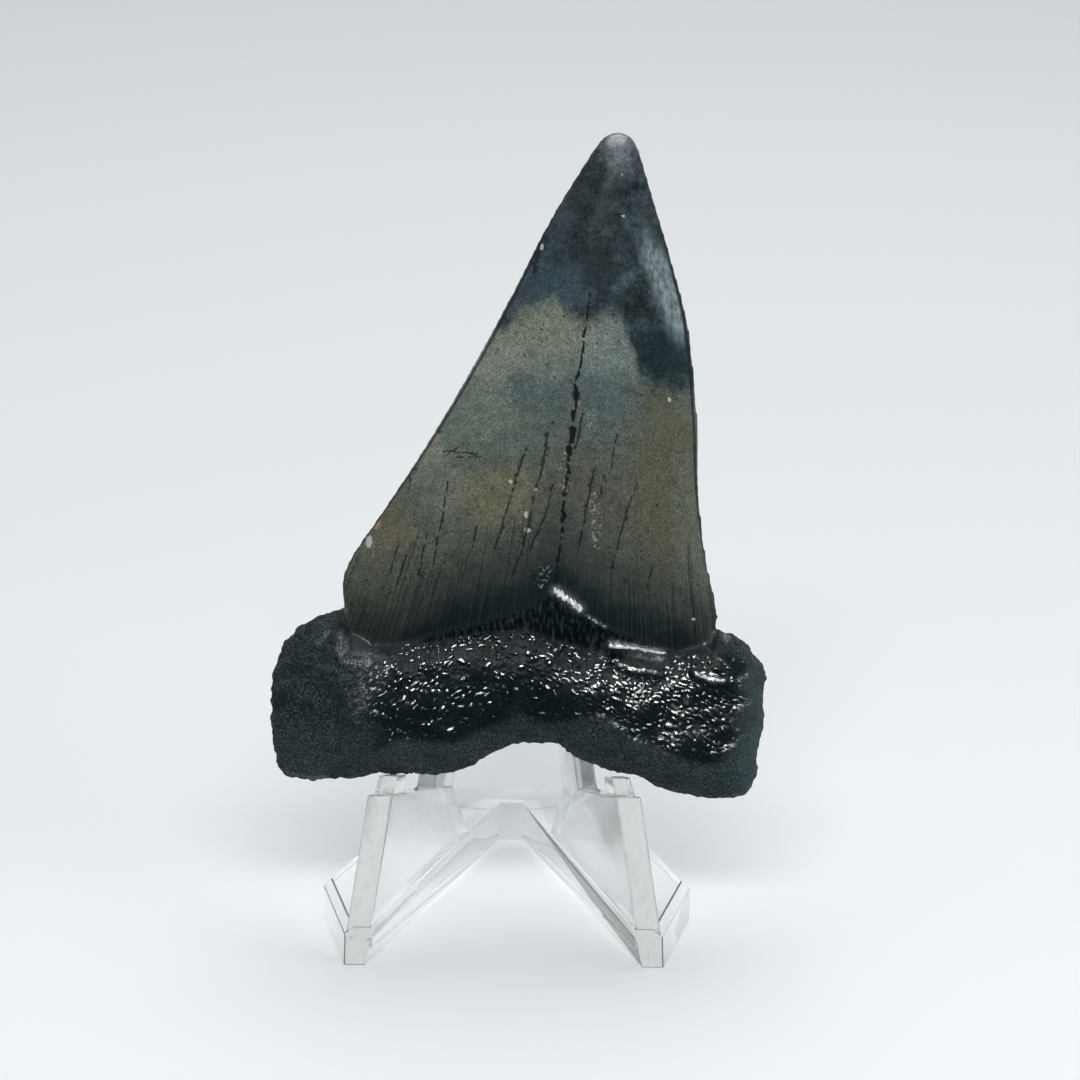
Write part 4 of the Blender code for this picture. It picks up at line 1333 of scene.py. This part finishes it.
def stand_skin():
    """Copy of the stand with rounded edges, its matt front faces marked, and edges painted dark as shade
    where it stands on the table and along its outer feet.
    """
    piece = copy_of_node("display_stand", "clear_stand")
    wear = stand_finish_group()
    clear = clear_plastic("clear_plastic", wear)
    matt = clear_plastic("matt_plastic", wear, matt=True)
    # Darker, less clear plastic on some edges: painted shade
    edge = clear_plastic("shaded_edge_plastic", wear, tint=EDGE_SHADE_TINT, less_clear=0.35)
    for material in (clear, matt, edge):
        piece.data.materials.append(material)
    bpy.ops.object.mode_set(mode="EDIT")
    bpy.ops.mesh.select_all(action="SELECT")
    bpy.ops.mesh.dissolve_limited(angle_limit=math.radians(1.0))
    bpy.ops.object.mode_set(mode="OBJECT")
    apply_modifier(piece, "BEVEL", width=EDGE_WIDTH, segments=2, limit_method="ANGLE", angle_limit=SHARP,
                   material=SHADED_EDGE, use_clamp_overlap=False, harden_normals=True)
    for face in piece.data.polygons:
        place = face.center
        on_table = place.z < TABLE_EDGES
        on_foot = abs(place.x - FEET_X) > FOOT_REACH and place.z < FOOT_TOP
        # Only the edges on the table and low on the outer feet keep the painted shade
        if face.material_index == SHADED_EDGE and not on_table and not on_foot:
            face.material_index = CLEAR
        in_front = place.y < FEET_Y + FRONT_DEPTH and face.normal.y < FRONT_FACING
        if face.material_index == CLEAR and in_front:
            face.material_index = MATT
    return piece


class FOSSIL_OT_tooth(bpy.types.Operator):
    """Build the skin and finish of the fossil tooth in place of its CAD solid"""

    bl_idname = "fossil.tooth"
    bl_label = "Build Tooth"

    def execute(self, context):
        piece = tooth_skin()
        carve_tooth(piece)
        select_only(piece)
        bpy.ops.object.shade_smooth()
        piece.data.materials.append(tooth_material())
        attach(piece, "root")
        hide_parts("tooth")
        return {"FINISHED"}


class FOSSIL_OT_stand(bpy.types.Operator):
    """Finish the clear display stand"""

    bl_idname = "fossil.stand"
    bl_label = "Build Stand"

    def execute(self, context):
        piece = stand_skin()
        select_only(piece)
        bpy.ops.object.shade_smooth_by_angle(angle=SHARP)
        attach(piece, "root")
        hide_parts("display_stand")
        return {"FINISHED"}


def table():
    """Pale table top, wide enough to fill every view."""
    settings = bpy.context.scene.fossil_studio
    bpy.ops.object.select_all(action="DESELECT")
    bpy.ops.mesh.primitive_plane_add(size=TABLE_SIZE, location=(0.0, 0.0, TABLE_LEVEL))
    floor = bpy.context.object
    floor.name = "table"
    material, nodes, shader = new_material("pale_table")
    nodes.feed_all(shader, {
        "Base Color": tuple(settings.table_colour),
        "Roughness": 0.6,
        "Specular IOR Level": 0.2,
    })
    floor.data.materials.append(material)


def lit_alone(piece_name):
    """Group of the only piece that a light shines on."""
    group = bpy.data.collections.new("lit_" + piece_name)
    if piece_name in bpy.data.objects:
        group.objects.link(bpy.data.objects[piece_name])
    return group


def area_light(name, place, target, size, power, unseen_by=(), shines_on=None):
    """A rectangular light panel that faces a target point."""
    data = bpy.data.lights.new(name, "AREA")
    data.shape = "RECTANGLE"
    data.size, data.size_y = size
    data.energy = power
    light = bpy.data.objects.new(name, data)
    light.location = place
    light.rotation_euler = (Vector(target) - Vector(place)).to_track_quat("-Z", "Y").to_euler()
    bpy.context.scene.collection.objects.link(light)
    for rays in unseen_by:
        setattr(light, "visible_" + rays, False)
    if shines_on:
        light.light_linking.receiver_collection = lit_alone(shines_on)


def studio_world():
    """Soft light from all round, dark behind the camera."""
    world = bpy.data.worlds.new("studio")
    bpy.context.scene.world = world
    world.use_nodes = True
    nodes = Nodes(world.node_tree)
    direction = nodes.add("TexCoord").outputs["Generated"]
    towards_camera = Vector((0.0, -math.cos(DARK_HEIGHT), math.sin(DARK_HEIGHT)))
    facing = nodes.vector("DOT_PRODUCT", direction, towards_camera)
    strength = nodes.ease(facing, math.cos(DARK_RIM), math.cos(DARK_CORE), 0.78, 0.02)
    nodes.feed_all(world.node_tree.nodes["Background"], {"Strength": strength, "Color": WORLD_COLOUR})


def camera():
    """Camera in the place from which the tooth's face is seen almost straight on."""
    settings = bpy.context.scene.fossil_studio
    data = bpy.data.cameras.new("camera")
    data.lens = settings.lens
    data.sensor_width = 36.0
    data.clip_start = 0.01
    data.clip_end = 20.0
    holder = bpy.data.objects.new("camera", data)
    holder.location = (FEET_X + CAMERA_X * MM, FEET_Y + CAMERA_Y * MM, CAMERA_Z * MM)
    holder.rotation_euler = (CAMERA_TILT, 0.0, CAMERA_TURN)
    bpy.context.scene.collection.objects.link(holder)
    bpy.context.scene.camera = holder


class FOSSIL_OT_studio(bpy.types.Operator):
    """Set up the table, the light and the camera"""

    bl_idname = "fossil.studio"
    bl_label = "Build Studio"

    def execute(self, context):
        settings = context.scene.fossil_studio
        power = settings.panel_power
        table()
        studio_world()
        area_light("front_strip", (0.02, -0.36, 0.48), (0.0, 0.0, 0.03), (0.42, 0.12), power * 1.25)
        area_light("back_strip", (0.02, 0.32, 0.52), (0.0, 0.1, 0.0), (0.42, 0.40), power * 0.70)
        area_light("right_panel", (0.42, -0.20, 0.20), (0.0, 0.0, 0.05), (0.22, 0.22), SIDE_POWER,
                   ("glossy",))
        area_light("sheen_panel", (0.0, 0.05, 0.50), (0.0, 0.0, 0.0), (0.45, 0.34), settings.sheen_power,
                   ("diffuse", "transmission"), "fossil_tooth")
        area_light("table_light", (0.0, -0.15, 0.20), (0.0, -0.15, 0.0), (0.50, 0.10), TABLE_POWER,
                   ("glossy",), "table")
        camera()
        context.scene.view_settings.view_transform = "Standard"
        return {"FINISHED"}


SETTINGS = (
    ("fossil_tooth", ToothSettings),
    ("fossil_stand", StandSettings),
    ("fossil_studio", StudioSettings),
)
STEPS = (FOSSIL_OT_tooth, FOSSIL_OT_stand, FOSSIL_OT_studio)


class FOSSIL_PT_panel(bpy.types.Panel):
    """Sidebar panel with the steps and their settings"""

    bl_idname = "FOSSIL_PT_panel"
    bl_label = "Fossil Tooth"
    bl_space_type = "VIEW_3D"
    bl_region_type = "UI"
    bl_category = "Fossil Tooth"

    def draw(self, context):
        for (group, kind), step in zip(SETTINGS, STEPS):
            box = self.layout.box()
            for name in kind.__annotations__:
                box.prop(getattr(context.scene, group), name)
            box.operator(step.bl_idname)


def register():
    """Register the settings, the operators and the panel."""
    for name, settings in SETTINGS:
        bpy.utils.register_class(settings)
        setattr(bpy.types.Scene, name, bpy.props.PointerProperty(type=settings))
    for step in STEPS:
        bpy.utils.register_class(step)
    bpy.utils.register_class(FOSSIL_PT_panel)


def unregister():
    """Take away what register added."""
    bpy.utils.unregister_class(FOSSIL_PT_panel)
    for step in reversed(STEPS):
        bpy.utils.unregister_class(step)
    for name, settings in reversed(SETTINGS):
        delattr(bpy.types.Scene, name)
        bpy.utils.unregister_class(settings)


def main():
    """Build everything in order."""
    register()
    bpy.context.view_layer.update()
    bpy.ops.fossil.tooth()
    bpy.ops.fossil.stand()
    bpy.ops.fossil.studio()


if __name__ == "__main__":
    main()
